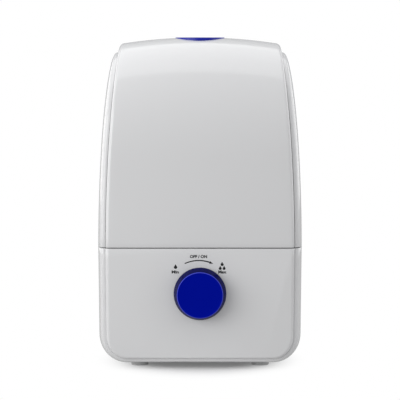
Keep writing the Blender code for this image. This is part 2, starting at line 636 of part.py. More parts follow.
def make_tray(pin_top):
    """The moulding on top of the base, with the cup and the air stack let into its floor."""
    tray = plate("water_tray", inner_outline(PLATE_INSET), RIM_TOP - WALL, RIM_TOP, INNER_WHITE)
    middle_y = (BASIN_FRONT + BASIN_BACK) / 2
    depth = BASIN_BACK - BASIN_FRONT
    wall = 2 * WALL
    outer_high = RIM_TOP - 0.5 * MM
    combine(tray, rounded_box("basin_tool", (2 * BASIN_HALF + wall, depth + wall,
                                             outer_high - BASIN_LOW),
                              (0, middle_y, (outer_high + BASIN_LOW) / 2), 14 * MM, None),
            "UNION")
    combine(tray, rounded_box("basin_cutter", (2 * BASIN_HALF, depth, 40 * MM),
                              (0, middle_y, BASIN_FLOOR + 20 * MM), 12 * MM, None),
            "DIFFERENCE")
    pocket_at = (0, TRANSDUCER_SETBACK, 0)
    combine(tray, disc("pocket_cutter", POCKET_RADIUS, BASIN_LOW - WALL, BASIN_FLOOR + 4 * MM,
                       None, pocket_at), "DIFFERENCE")
    cup_top = BASIN_LOW - GAP
    disc_hole = TRANSDUCER_RADIUS - 1.5 * MM
    turned("mist_maker_cup", [(POCKET_RADIUS + WALL, cup_top), (POCKET_RADIUS + WALL, POCKET_LOW),
                              (disc_hole, POCKET_LOW), (disc_hole, POCKET_FLOOR),
                              (POCKET_RADIUS, POCKET_FLOOR), (POCKET_RADIUS, cup_top)],
           INNER_WHITE, pocket_at, closed=True)
    stack_top = FLOOR_LOW - 8 * MM
    stack_x, stack_y = STACK_SIZE
    stack_at = (0, STACK_SETBACK, (stack_top + BASIN_LOW) / 2)
    stack = rounded_box("air_stack", (stack_x, stack_y, stack_top - BASIN_LOW), stack_at,
                        2 * MM, INNER_WHITE)
    combine(stack, rounded_box("stack_bore_cutter", (stack_x - 4 * MM, stack_y - 4 * MM,
                                                     80 * MM), stack_at, 1 * MM, None),
            "DIFFERENCE")
    combine(tray, rounded_box("stack_cutter", (stack_x + 2 * GAP, stack_y + 2 * GAP, 20 * MM),
                              (0, STACK_SETBACK, BASIN_FLOOR), 2 * MM, None), "DIFFERENCE")
    combine(tray, turned("pin_tool", [(0, pin_top), (2.2 * MM, pin_top),
                                      (4.5 * MM, BASIN_FLOOR - 1 * MM), (0, BASIN_FLOOR - 1 * MM)],
                         None, (CAP_X, 0, 0), 16), "UNION")
    combine(tray, disc("float_post_tool", 2.5 * MM, BASIN_FLOOR - 1 * MM,
                       BASIN_FLOOR + 18 * MM, None, (FLOAT_X, FLOAT_Y, 0), 16), "UNION")
    for _, index in SOCKET_PLACES:
        x, y = SCREW_PLACES[index]
        post = disc("post_tool", POST_RADIUS, FLOOR_TOP + GAP, BASIN_LOW + 1 * MM, None,
                    (x, y, 0), 16)
        combine(tray, post, "UNION")
        pilot = disc("pilot_cutter", SCREW_RADIUS + GAP, FLOOR_TOP - 1 * MM,
                     FLOOR_TOP + 12 * MM, None, (x, y, 0), 12)
        combine(tray, pilot, "DIFFERENCE")


def make_float():
    at = (FLOAT_X, FLOAT_Y, 0)
    low = BASIN_FLOOR + 0.8 * MM
    high = low + 9 * MM
    bore = 2.5 * MM + 0.7 * MM
    turned("float_ring", [(FLOAT_RADIUS, high), (FLOAT_RADIUS, low), (bore, low),
                          (bore, high - 4 * MM), (6.8 * MM, high - 4 * MM), (6.8 * MM, high)],
           INNER_WHITE, at, closed=True)
    ring("float_magnet", bore, 6.5 * MM, high - 4 * MM + GAP, high - 0.6 * MM, BLACK_PLASTIC,
         at, 24)
    clip = high + FLOAT_TRAVEL + 0.7 * MM
    ring("float_clip", 2.5 * MM + GAP, 5 * MM, clip, clip + 1.5 * MM, INNER_WHITE, at, 24)
    disc("reed_switch", 1.6 * MM, -7 * MM, 7 * MM, BLACK_PLASTIC,
         (FLOAT_X, FLOAT_Y, BASIN_LOW - 2 * MM), 12, True)


def make_transducer():
    at = (0, TRANSDUCER_SETBACK, 0)
    top = POCKET_LOW - GAP
    ring("transducer_gasket", TRANSDUCER_RADIUS - 1.5 * MM, TRANSDUCER_RADIUS + 2.5 * MM,
         top - 1 * MM, top, SILICONE, at)
    disc_top = top - 1 * MM - GAP
    disc("transducer_disc", TRANSDUCER_RADIUS, disc_top - 1.2 * MM, disc_top, BRASS, at)
    ring_top = disc_top - 1.2 * MM - GAP
    ring("transducer_ring", TRANSDUCER_RADIUS - 2 * MM, TRANSDUCER_RADIUS + 4 * MM,
         ring_top - 1.5 * MM, ring_top, STEEL, at)
    sink_top = ring_top - 1.5 * MM - GAP
    plate_step = SINK_DEPTH / (5 * SINK_FINS + 2)
    fins = [(3 * MM, sink_top), (16 * MM, sink_top)]
    for fin in range(SINK_FINS):
        root = sink_top - (2 + 5 * fin) * plate_step
        slot_end = root - 3 * plate_step
        fins += [(16 * MM, root), (8 * MM, root), (8 * MM, slot_end), (16 * MM, slot_end)]
    fins += [(16 * MM, sink_top - SINK_DEPTH), (3 * MM, sink_top - SINK_DEPTH)]
    turned("heat_sink", fins, ALUMINIUM, at, closed=True)
    board_top = sink_top - SINK_DEPTH - GAP
    board = rounded_box("driver_board", DRIVER_BOARD,
                        (0, TRANSDUCER_SETBACK - 9 * MM, board_top - BOARD_THICKNESS / 2),
                        1 * MM, BOARD_GREEN)
    for x, tall in ((-18, 9), (18, 6)):
        combine(board, rounded_box("driver_block_tool", (9 * MM, 16 * MM, tall * MM),
                                   (x * MM, TRANSDUCER_SETBACK - 12 * MM,
                                    board_top - 1.4 * MM - tall / 2 * MM), 0, None), "UNION")


def make_air_path():
    at_y = FAN_SETBACK
    half = FAN_SIZE / 2
    filter_low = FLOOR_TOP + GAP
    rounded_box("air_filter", (FAN_SIZE, FAN_SIZE, FILTER_THICKNESS),
                (0, at_y, filter_low + FILTER_THICKNESS / 2), 3 * MM, FOAM)
    fan_low = filter_low + FILTER_THICKNESS + GAP
    fan_high = fan_low + FAN_DEPTH
    frame = rounded_box("fan_frame", (FAN_SIZE, FAN_SIZE, FAN_DEPTH),
                        (0, at_y, (fan_low + fan_high) / 2), 3 * MM, BLACK_PLASTIC)
    bore = half - FAN_WALL
    combine(frame, disc("fan_bore_cutter", bore, fan_low + 2 * MM, fan_high + 1 * MM, None,
                        (0, at_y, 0)), "DIFFERENCE")
    combine(frame, ring("fan_inlet_cutter", FAN_HUB_RADIUS, bore, fan_low - 1 * MM, fan_low + 3 * MM,
                        None, (0, at_y, 0)), "DIFFERENCE")
    for turn in (math.radians(45), math.radians(135)):
        spoke = rounded_box("fan_spoke_tool", (2 * half, FAN_SPOKE, 1.6 * MM),
                            (0, at_y, fan_low + 0.9 * MM), 0, None)
        spoke.rotation_euler.z = turn
        combine(frame, spoke, "UNION")
    rotor = disc("fan_rotor", FAN_HUB_RADIUS, fan_low + 2.6 * MM, fan_high - 1 * MM, BLACK_PLASTIC,
                 (0, at_y, 0), 24)
    for blade in range(FAN_VANES):
        turn = math.tau * blade / FAN_VANES
        reach = (FAN_HUB_RADIUS - 2 * MM + bore - 1.6 * MM) / 2
        vane = rounded_box(f"vane_tool_{blade}", (bore - 7.6 * MM, 1.4 * MM, 12 * MM),
                           (reach * math.cos(turn), at_y + reach * math.sin(turn),
                            (fan_low + fan_high) / 2 + 0.8 * MM), 0, None)
        vane.rotation_euler = (FAN_VANE_PITCH, 0, turn)
        combine(rotor, vane, "UNION")

    stack_x, stack_y = STACK_SIZE
    low, high = fan_high + GAP, BASIN_LOW - GAP
    wall = DUCT_WALL
    bm = bmesh.new()
    loops = []
    for z, x, y, mid in ((low, half, half, at_y), (high, stack_x / 2, stack_y / 2, STACK_SETBACK)):
        for shrink in (0, wall):
            corners = ((-1, -1), (1, -1), (1, 1), (-1, 1))
            loops.append([bm.verts.new((cx * (x - shrink), mid + cy * (y - shrink), z))
                          for cx, cy in corners])
    outer_low, inner_low, outer_high, inner_high = loops
    for i in range(4):
        j = (i + 1) % 4
        bm.faces.new((outer_low[i], outer_low[j], outer_high[j], outer_high[i]))
        bm.faces.new((inner_low[j], inner_low[i], inner_high[i], inner_high[j]))
        bm.faces.new((outer_high[i], outer_high[j], inner_high[j], inner_high[i]))
        bm.faces.new((outer_low[j], outer_low[i], inner_low[i], inner_low[j]))
    object_from(bm, "air_duct", INNER_WHITE)


def make_electrics():
    beside_fan = FAN_SIZE / 2 + TRANSFORMER_CLEARANCE + TRANSFORMER_CORE[0] / 2
    middle = (-beside_fan, 0, FLOOR_TOP + TRANSFORMER_HEIGHT)
    winding = rounded_box("transformer", TRANSFORMER_WINDING, middle, 2 * MM, STEEL)
    combine(winding, rounded_box("core_tool", TRANSFORMER_CORE, middle, 0, None), "UNION")
    right = WIDTH / 2 - POWER_BOARD_INSET
    board_height = FLOOR_TOP + BOARD_STANDOFF
    board = rounded_box("power_board", POWER_BOARD, (right, 0, board_height), 1 * MM,
                        BOARD_GREEN)
    for y, radius, tall in ((-15, 7, 18), (0, 5, 14), (14, 7, 12)):
        part = disc("power_part_tool", radius * MM, board_height,
                    board_height + (1 + tall) * MM, None, (right + 8 * MM, y * MM, 0), 16)
        combine(board, part, "UNION")


def make_control():
    """The potentiometer behind the front wall, its nut, and the knob on its shaft."""
    back = FACE - WALL - GAP
    bushing = SHAFT_RADIUS + 1.6 * MM
    bore = SHAFT_RADIUS + GAP
    nose = FACE + 3.4 * MM
    turned("potentiometer", [(bushing, nose), (bushing, back), (POT_RADIUS, back),
                             (POT_RADIUS, back - 8 * MM), (bore, back - 8 * MM), (bore, nose)],
           STEEL, KNOB_AT, closed=True, along_y=True)
    nut_bore = (bushing + GAP) / math.cos(math.pi / 6)
    ring("potentiometer_nut", nut_bore, 8 * MM, FACE + GAP, FACE + 2.3 * MM, STEEL, KNOB_AT, 6,
         True)
    front = FACE + KNOB_PROTRUSION
    shaft_front = front - 4 * MM
    disc("knob_shaft", SHAFT_RADIUS, back - 6 * MM, shaft_front, STEEL, KNOB_AT, 24, True)
    rim = KNOB_RADIUS - 2.5 * MM
    hub = SHAFT_RADIUS + 3.5 * MM
    back_face = FACE + 0.8 * MM
    cavity = front - 3 * MM
    hub_back = nose + 1 * MM
    turned("knob", [(0, front), (KNOB_FACE_RADIUS - 0.6 * MM, front),
                    (KNOB_FACE_RADIUS, front - 0.6 * MM), (KNOB_RADIUS, back_face + 1.5 * MM),
                    (KNOB_RADIUS, back_face), (rim, back_face), (rim - 2 * MM, cavity),
                    (hub, cavity), (hub, hub_back), (SHAFT_RADIUS + GAP, hub_back),
                    (SHAFT_RADIUS + GAP, shaft_front + GAP), (0, shaft_front + GAP)],
           BLUE, KNOB_AT, BIG_ROUND_STEPS, along_y=True)


def make_gland():
    outer = GLAND_BORE + GLAND_WALL - GAP
    turned("cord_gland", [(outer, -FACE + 12 * MM), (outer, -FACE - GAP),
                          (outer + 3 * MM, -FACE - GAP), (outer + 3 * MM, -FACE - GLAND_PROUD),
                          (GLAND_BORE, -FACE - GLAND_PROUD), (GLAND_BORE, -FACE + 12 * MM)],
           BLACK_PLASTIC, GLAND_AT, 24, True, True)


make_tank()
STEM_LOW = make_cap_and_valve()
make_nozzle()
make_base_shell()
make_floor()
make_tray(STEM_LOW - GAP)
make_float()
make_transducer()
make_air_path()
make_electrics()
make_control()
make_gland()
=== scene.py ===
# %% [markdown]
# # Cool mist humidifier: the visible pieces
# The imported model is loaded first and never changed. Every place below comes from its boxes, so
# each piece made here lies exactly where the working solid lies.
# %% Load the frame
import json
import math

import bmesh
import bpy
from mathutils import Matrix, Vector


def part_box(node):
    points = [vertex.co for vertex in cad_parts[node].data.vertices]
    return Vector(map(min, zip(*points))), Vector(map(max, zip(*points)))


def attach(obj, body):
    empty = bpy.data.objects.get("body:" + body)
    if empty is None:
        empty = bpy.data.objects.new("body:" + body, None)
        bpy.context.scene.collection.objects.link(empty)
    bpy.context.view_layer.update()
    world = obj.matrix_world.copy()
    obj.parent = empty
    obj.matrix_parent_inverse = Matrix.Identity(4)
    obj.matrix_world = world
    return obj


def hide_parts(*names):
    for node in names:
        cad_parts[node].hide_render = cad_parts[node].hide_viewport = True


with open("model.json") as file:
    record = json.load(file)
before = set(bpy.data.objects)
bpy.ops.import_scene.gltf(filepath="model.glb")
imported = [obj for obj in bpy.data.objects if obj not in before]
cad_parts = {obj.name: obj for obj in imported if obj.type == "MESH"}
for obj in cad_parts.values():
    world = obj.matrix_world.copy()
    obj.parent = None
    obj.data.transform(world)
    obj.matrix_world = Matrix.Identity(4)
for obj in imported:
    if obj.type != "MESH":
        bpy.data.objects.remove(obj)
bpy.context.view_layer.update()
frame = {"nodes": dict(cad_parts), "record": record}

MM = 0.001
scene = bpy.context.scene
nodes = frame["nodes"]
base_low, base_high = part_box("base_shell")
wrap_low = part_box("tank_wrap")[0]
crown_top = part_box("nozzle_collar")[1].z

# %% [markdown]
# ## The outer form in numbers
# The body is a ribbon with rounded edges that runs up the front, over the crown and down the
# back. Bulging sides stand in its edges. The same few sizes give the tank and the base, so the
# two halves meet at the seam. They are read from the frame where it holds them.
# %% Sizes of the outer form
WIDTH = base_high.x - base_low.x
DEPTH = base_high.y - base_low.y
CENTRE_Y = (base_high.y + base_low.y) / 2
HEIGHT = crown_top
TANK_BOTTOM = wrap_low.z
BASE_TOP = base_high.z
BASE_LOW = base_low.z
SEAM = (TANK_BOTTOM + BASE_TOP) / 2
WALL = 2.5 * MM
GAP = 0.3 * MM
BULGE = 8.4 * MM
BULGE_POWER = 3.6
EDGE_WIDTH = 3.5 * MM
EDGE_DEPTH = 4 * MM
EAR_DROP = 6.5 * MM
EDGE_RETURN = 5 * MM
RIBBON_HALF = WIDTH / 2 - BULGE - GAP
RIBBON_TAPER = 11 * MM
TAPER_POWER = 1.9
CROWN_RISE = 119 * MM
CROWN_POWER = 2.3
ARCH_RADIUS = 500 * MM
BASE_TAPER = 1.2 * MM
CORNER_RADIUS = 28 * MM
UNDERSIDE_SHARE = 0.72
SPRING = HEIGHT - CROWN_RISE
EAR_TOP = HEIGHT - EAR_DROP - RIBBON_HALF ** 2 / (2 * ARCH_RADIUS)
SIDE_HALF_DEPTH = DEPTH / 2 - EDGE_DEPTH
FRONT = CENTRE_Y - DEPTH / 2
BACK = CENTRE_Y + DEPTH / 2
print("body", round(WIDTH, 4), round(DEPTH, 4), round(HEIGHT, 4))

# %% [markdown]
# ## Camera
# A long lens from a little above the crown, pointing slightly down, so that the sides stay
# nearly parallel and the top is seen edge on.
# %% Camera
CAMERA_DISTANCE = 2.300
CAMERA_HEIGHT = 0.3324
CAMERA_PITCH = math.radians(4.158)
camera_data = bpy.data.cameras.new("studio_camera")
camera_data.lens = 214.9
camera_data.sensor_width = 36
camera = bpy.data.objects.new("studio_camera", camera_data)
camera.location = (0, FRONT - CAMERA_DISTANCE, CAMERA_HEIGHT)
camera.rotation_euler = (math.pi / 2 - CAMERA_PITCH, 0, 0)
scene.collection.objects.link(camera)
scene.camera = camera

# %% [markdown]
# ## Studio light
# A wide softbox overhead lights the crown and the floor. Its front edge shows as the clear
# arched line across the top of the tank. A near box at the left grades the front from side to
# side, boxes at the sides and behind lift the rounded edges, and a pale room fills the front.
# %% Lights and room
def softbox(name, centre, turn, size, power):
    data = bpy.data.lights.new(name, "AREA")
    data.shape = "RECTANGLE"
    data.size, data.size_y = size
    data.energy = power
    light = bpy.data.objects.new(name, data)
    light.location = centre
    light.rotation_euler = [math.radians(angle) for angle in turn]
    light.visible_camera = False
    scene.collection.objects.link(light)


softbox("overhead_box", (0, 0.42, 1.85), (0, 0, 0), (2.6, 2.3), 20)
softbox("left_box", (-0.75, -0.75, 0.36), (82, 0, -45), (0.9, 0.7), 4.2)
softbox("left_edge_box", (-1.5, -0.2, 0.66), (76, 0, -82), (2.2, 1.3), 5.5)
softbox("right_edge_box", (1.7, -0.05, 0.66), (77, 0, 88), (2.2, 1.3), 7)
softbox("left_back_box", (-1.3, 1.2, 0.5), (85, 0, -133), (1.6, 0.9), 4)
softbox("right_back_box", (1.3, 1.2, 0.5), (85, 0, 133), (1.6, 0.9), 4)


def link(tree, source, output, target, socket):
    tree.links.new(source.outputs[output], target.inputs[socket])


def node(tree, kind, **values):
    """A node with its sockets or settings filled in; an underscore stands for a space."""
    made = tree.nodes.new(kind)
    for name, value in values.items():
        socket = name.replace("_", " ")
        if socket in made.inputs:
            made.inputs[socket].default_value = value
        else:
            setattr(made, name, value)
    return made


ROOM_STRENGTH = 0.43
world = bpy.data.worlds.new("pale_room")
scene.world = world
world.use_nodes = True
room = world.node_tree
room.nodes.clear()
room_out = node(room, "ShaderNodeOutputWorld")
room_mix = node(room, "ShaderNodeMixShader")
room_path = node(room, "ShaderNodeLightPath")
room_light = node(room, "ShaderNodeBackground", Color=(0.97, 0.98, 1.0, 1),
                  Strength=ROOM_STRENGTH)
room_seen = node(room, "ShaderNodeBackground", Color=(1, 1, 1, 1), Strength=1.0)
link(room, room_path, "Is Camera Ray", room_mix, "Fac")
link(room, room_light, 0, room_mix, 1)
link(room, room_seen, 0, room_mix, 2)
link(room, room_mix, 0, room_out, "Surface")
scene.view_settings.view_transform = "Standard"

# %% [markdown]
# ## Finishes
# Every finish is built from the same few layers: a body colour with a slow variation, a roughness
# that is not quite even and a fine grain, as a moulded or machined surface has, and a paler line on
# sharp edges, partly handling wear and partly a painted highlight. Each finish sets its own amounts.
# %% Layered finish
EDGE_STARTS, EDGE_FULL = 0.53, 0.62
PALE_EDGE_TONE, PALE_EDGE_SHARE = 0.85, 0.35


def layered(name, colour, roughness, metallic=0.0, variation=0.03, patch=40.0, uneven=0.05,
            grain=900.0, depth=0.02, stretch=(1, 1, 1), wear_and_highlight=0.25, **shader_values):
    """A finish with patches of colour, uneven roughness, grain and pale edges from wear and painted
    highlight.
    """
    made = bpy.data.materials.new(name)
    made.use_nodes = True
    made.diffuse_color = (*colour, 1)
    tree = made.node_tree
    shader = tree.nodes["Principled BSDF"]
    shader.inputs["Metallic"].default_value = metallic
    for socket, value in shader_values.items():
        shader.inputs[socket.replace("_", " ")].default_value = value
    where = node(tree, "ShaderNodeTexCoord")
    mapping = node(tree, "ShaderNodeMapping", Scale=stretch)
    link(tree, where, "Object", mapping, "Vector")
    patches = node(tree, "ShaderNodeTexNoise", Scale=patch, Detail=4.0, Roughness=0.55)
    link(tree, mapping, "Vector", patches, "Vector")
    low = [part * (1 - variation) for part in colour]
    high = [min(1.0, part * (1 + variation)) for part in colour]
    tint = node(tree, "ShaderNodeMix", data_type="RGBA")
    tint.inputs[6].default_value = (*low, 1)
    tint.inputs[7].default_value = (*high, 1)
    link(tree, patches, "Fac", tint, "Factor")
    # Sharp edges turn paler: partly handling wear, partly a painted highlight.
    geometry = node(tree, "ShaderNodeNewGeometry")
    edges = node(tree, "ShaderNodeMapRange", From_Min=EDGE_STARTS, From_Max=EDGE_FULL,
                 To_Max=wear_and_highlight)
    link(tree, geometry, "Pointiness", edges, "Value")
    worn_and_lit = node(tree, "ShaderNodeMix", data_type="RGBA")
    pale = [part + (PALE_EDGE_TONE - part) * PALE_EDGE_SHARE for part in colour]
    worn_and_lit.inputs[7].default_value = (*pale, 1)
    link(tree, edges, "Result", worn_and_lit, "Factor")
    link(tree, tint, 2, worn_and_lit, 6)
    link(tree, worn_and_lit, 2, shader, "Base Color")
    rough = node(tree, "ShaderNodeMapRange", To_Min=max(0.02, roughness - uneven),
                 To_Max=min(1.0, roughness + uneven))
    link(tree, patches, "Fac", rough, "Value")
    link(tree, rough, "Result", shader, "Roughness")
    fine = node(tree, "ShaderNodeTexNoise", Scale=grain, Detail=3.0, Roughness=0.6)
    link(tree, mapping, "Vector", fine, "Vector")
    relief = node(tree, "ShaderNodeBump", Strength=depth, Distance=0.0004)
    link(tree, fine, "Fac", relief, "Height")
    link(tree, relief, "Normal", shader, "Normal")
    return made


# %% [markdown]
# ## The finishes of this object
# Polished tool steel leaves the white skins and blue parts glossy with a faint orange peel. The
# inner mouldings are satin. Rubber, foam, plated steel, cast aluminium, brass and the boards
# each get their own grain: stretched for brushed metal, coarse for foam and castings.
# %% Finishes
gloss_white = layered("gloss_white", (0.80, 0.80, 0.805), 0.16, variation=0.008, patch=12,
                      uneven=0.03, grain=420, depth=0.012, wear_and_highlight=0.10, Coat_Weight=0.35,
                      Coat_Roughness=0.06)
satin_white = layered("satin_white", (0.72, 0.73, 0.735), 0.38, variation=0.015, patch=25,
                      uneven=0.06, grain=1600, depth=0.05, wear_and_highlight=0.12)
gloss_blue = layered("gloss_blue", (0.004, 0.012, 0.36), 0.30, variation=0.05, patch=30,
                     uneven=0.05, grain=500, depth=0.012, wear_and_highlight=0.20, Specular_IOR_Level=0.40)
knob_blue = layered("knob_blue", (0.0002, 0.0055, 0.34), 0.30, variation=0.05, patch=30,
                    uneven=0.05, grain=500, depth=0.012, wear_and_highlight=0.0, Specular_IOR_Level=0.012)
foot_rubber = layered("foot_rubber", (0.56, 0.56, 0.56), 0.75, variation=0.10, patch=160,
                      uneven=0.08, grain=2600, depth=0.25, wear_and_highlight=0.20)
silicone = layered("silicone", (0.55, 0.56, 0.58), 0.45, variation=0.04, patch=90,
                   uneven=0.08, grain=1500, depth=0.06, wear_and_highlight=0.1)
plated_steel = layered("plated_steel", (0.60, 0.60, 0.62), 0.26, 1.0, variation=0.06,
                       patch=70, uneven=0.10, grain=900, depth=0.08, stretch=(1, 1, 6),
                       wear_and_highlight=0.3)
cast_aluminium = layered("cast_aluminium", (0.62, 0.63, 0.64), 0.42, 1.0, variation=0.08,
                         patch=120, uneven=0.10, grain=1400, depth=0.30, wear_and_highlight=0.4)
lapped_brass = layered("lapped_brass", (0.70, 0.52, 0.22), 0.24, 1.0, variation=0.06,
                       patch=90, uneven=0.08, grain=1800, depth=0.08, wear_and_highlight=0.3)
board_green = layered("board_green", (0.012, 0.11, 0.045), 0.34, variation=0.25, patch=240,
                      uneven=0.10, grain=700, depth=0.20, wear_and_highlight=0.2)
black_plastic = layered("black_plastic", (0.018, 0.018, 0.019), 0.42, variation=0.12,
                        patch=80, uneven=0.08, grain=1500, depth=0.12, wear_and_highlight=0.15)
filter_foam = layered("filter_foam", (0.045, 0.045, 0.05), 0.95, variation=0.5, patch=900,
                      uneven=0.04, grain=1300, depth=1.0, wear_and_highlight=0.3)
printing_ink = layered("printing_ink", (0.006, 0.006, 0.007), 0.38, variation=0.1, patch=300,
                       uneven=0.06, grain=2200, depth=0.05, wear_and_highlight=0.0)
FINISH_OF_SLOT = {
    "gloss_white_plastic": gloss_white,
    "satin_white_plastic": satin_white,
    "gloss_blue_plastic": gloss_blue,
    "grey_rubber": foot_rubber,
    "silicone": silicone,
    "steel": plated_steel,
    "cast_aluminium": cast_aluminium,
    "brass": lapped_brass,
    "circuit_board": board_green,
    "black_plastic": black_plastic,
    "filter_foam": filter_foam,
}
for part in frame["record"]["subparts"]:
    carried = nodes[part["node"]]
    carried.data.materials.clear()
    carried.data.materials.append(FINISH_OF_SLOT[part["material_slot"]])
print("finishes", len(FINISH_OF_SLOT) + 1)

# %% [markdown]
# ## Studio floor
# A plain pale floor, far wider than the object, which catches the soft shadow under the base.
# The paper glows a little near the object, painted light that lifts the shadow under the base,
# and evenly farther out, so its shadow stays soft and it fades into the pale room.
# %% Floor
FLOOR_HALF = 12.0
PAPER_REACH = (0.112, 0.150)
FADE_START = 0.40
FADE_END = 1.0
# Near the object the paper glows faintly as painted light, which lifts the shadow under the base.
SHADOW_LIFT_GLOW = 0.10
floor_mesh = bpy.data.meshes.new("studio_floor")
corners = [(-FLOOR_HALF, -FLOOR_HALF, 0), (FLOOR_HALF, -FLOOR_HALF, 0),
           (FLOOR_HALF, FLOOR_HALF, 0), (-FLOOR_HALF, FLOOR_HALF, 0)]
floor_mesh.from_pydata(corners, [], [(0, 1, 2, 3)])
studio_floor = bpy.data.objects.new("studio_floor", floor_mesh)
scene.collection.objects.link(studio_floor)
floor_paper = layered("floor_paper", (0.90, 0.90, 0.90), 0.9, variation=0.005, patch=3,
                      uneven=0.03, grain=300, depth=0.02, wear_and_highlight=0.0)
floor_mesh.materials.append(floor_paper)
tree = floor_paper.node_tree
paper_place = node(tree, "ShaderNodeTexCoord")
paper_scale = node(tree, "ShaderNodeMapping", Scale=(1 / PAPER_REACH[0], 1 / PAPER_REACH[1], 0))
link(tree, paper_place, "Object", paper_scale, "Vector")
paper_reach = node(tree, "ShaderNodeVectorMath", operation="LENGTH")
link(tree, paper_scale, "Vector", paper_reach, "Vector")
fade = node(tree, "ShaderNodeMapRange", interpolation_type="SMOOTHERSTEP",
            From_Min=FADE_START, From_Max=FADE_END, To_Min=SHADOW_LIFT_GLOW)
link(tree, paper_reach, "Value", fade, "Value")
seen = node(tree, "ShaderNodeLightPath")
glow_range = node(tree, "ShaderNodeMapRange", To_Min=ROOM_STRENGTH)
link(tree, seen, "Is Camera Ray", glow_range, "Value")
glow = node(tree, "ShaderNodeEmission")
link(tree, glow_range, "Result", glow, "Strength")
paper_mix = node(tree, "ShaderNodeMixShader")
link(tree, fade, "Result", paper_mix, "Fac")
link(tree, tree.nodes["Principled BSDF"], "BSDF", paper_mix, 1)
link(tree, glow, "Emission", paper_mix, 2)
link(tree, paper_mix, "Shader", tree.nodes["Material Output"], "Surface")


# %% [markdown]
# ## Making and placing a piece
# A finished piece is one plain mesh at the origin, with its place in its points. These helpers
# build a mesh, apply its modifiers, point its faces outwards, and hand it to the frame.
# %% Helpers for pieces
MERGE_DISTANCE = 1e-6


def apply_modifiers(obj):
    graph = bpy.context.evaluated_depsgraph_get()
    mesh = bpy.data.meshes.new_from_object(obj.evaluated_get(graph), depsgraph=graph)
    obj.modifiers.clear()
    old = obj.data
    obj.data = mesh
    mesh.name = obj.name
    if old.users == 0:
        bpy.data.meshes.remove(old)
    return obj


def smooth(obj, angle=35):
    obj.data.shade_smooth()
    obj.data.set_sharp_from_angle(angle=math.radians(angle))
    return obj


def new_object(name, bm, finish):
    mesh = bpy.data.meshes.new(name)
    bm.to_mesh(mesh)
    bm.free()
    mesh.materials.append(finish)
    obj = bpy.data.objects.new(name, mesh)
    scene.collection.objects.link(obj)
    return obj


def from_bmesh(name, bm, finish):
    """A shape with doubled points merged and its faces pointed outwards."""
    bmesh.ops.remove_doubles(bm, verts=bm.verts, dist=MERGE_DISTANCE)
    bmesh.ops.recalc_face_normals(bm, faces=bm.faces)
    return new_object(name, bm, finish)


def walled(obj):
    """Gives an open surface a wall of even thickness, inwards."""
    wall = obj.modifiers.new("wall", "SOLIDIFY")
    wall.thickness = WALL
    wall.offset = -1
    wall.use_even_offset = True
    return apply_modifiers(obj)


def softened(obj, width, angle=40):
    """Bevels the edges that turn by more than an angle in degrees."""
    soft = obj.modifiers.new("soft", "BEVEL")
    soft.width = width
    soft.segments = 2
    soft.limit_method = "ANGLE"
    soft.angle_limit = math.radians(angle)
    return apply_modifiers(obj)


def hand_over(obj, body, slot_name, *replaced):
    """Tells the frame what a piece moves with and what it stands for; slot_name is not used."""
    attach(obj, body)
    if replaced:
        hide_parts(*replaced)
    print(obj.name, len(obj.data.polygons), "faces on", body)
    return obj


def points_of(made):
    return [item for item in made if isinstance(item, bmesh.types.BMVert)]


def cut(obj, tool):
    modifier = obj.modifiers.new("cut", "BOOLEAN")
    modifier.object = tool
    modifier.operation = "DIFFERENCE"
    modifier.solver = "EXACT"
    apply_modifiers(obj)
    bpy.data.objects.remove(tool)
    return obj


def rod(name, radius, start, end, steps=96):
    """A round tool between two points."""
    bm = bmesh.new()
    start, end = Vector(start), Vector(end)
    bmesh.ops.create_cone(bm, cap_ends=True, segments=steps, radius1=radius, radius2=radius,
                          depth=(end - start).length)
    turn = (end - start).to_track_quat("Z", "Y").to_matrix().to_4x4()
    bmesh.ops.transform(bm, matrix=turn, verts=bm.verts)
    bmesh.ops.translate(bm, vec=(start + end) / 2, verts=bm.verts)
    return from_bmesh(name, bm, printing_ink)


# %% [markdown]
# ## Skins of the body
# The skins follow a rule, so they are rows of points worked out from it: a superellipse for the
# arch seen from the side, a circle's arch across the crown, and a taper towards the top. A
# Solidify wall and a small Bevel on the rims turn each open surface into a moulding.
# %% Rule of the outer form
RIM = 0.35 * MM
RIM_ANGLE = 50


def rise_share(z):
    return max(0.0, (z - SEAM) / (EAR_TOP - SEAM))


def ribbon_half(z):
    if z < SEAM:
        return RIBBON_HALF - BASE_TAPER * (SEAM - z) / SEAM
    return RIBBON_HALF - RIBBON_TAPER * rise_share(z) ** TAPER_POWER


def bulge(share):
    return BULGE * max(0.0, 1 - min(1.0, share) ** BULGE_POWER) ** (1 / BULGE_POWER)


def crown_point(angle, x, depth):
    power = 2 / CROWN_POWER
    rise = CROWN_RISE - x * x / (2 * ARCH_RADIUS)
    run, lift = math.cos(angle), math.sin(angle)
    y = -DEPTH / 2 * math.copysign(abs(run) ** power, run)
    z = rise * lift ** power
    slope_y = -math.copysign(abs(run) ** (2 - power), run) / (DEPTH / 2)
    slope_z = lift ** (2 - power) / rise
    length = math.hypot(slope_y, slope_z)
    return y - depth * slope_y / length, SPRING + z - depth * slope_z / length


def skin(name, rows, finish):
    """An open surface through rows of points, with a wall inwards and softened rims."""
    bm = bmesh.new()
    grid = [[bm.verts.new((x, y + CENTRE_Y, z)) for x, y, z in row] for row in rows]
    for upper, lower in zip(grid, grid[1:]):
        for i in range(len(upper) - 1):
            bm.faces.new((upper[i], upper[i + 1], lower[i + 1], lower[i]))
    middle = Vector((0, CENTRE_Y, SEAM))
    probe = max(bm.faces, key=lambda face: face.calc_area())
    bm.normal_update()
    if probe.normal.dot(probe.calc_center_median() - middle) < 0:
        bmesh.ops.reverse_faces(bm, faces=bm.faces)
    return softened(walled(new_object(name, bm, finish)), RIM, RIM_ANGLE)


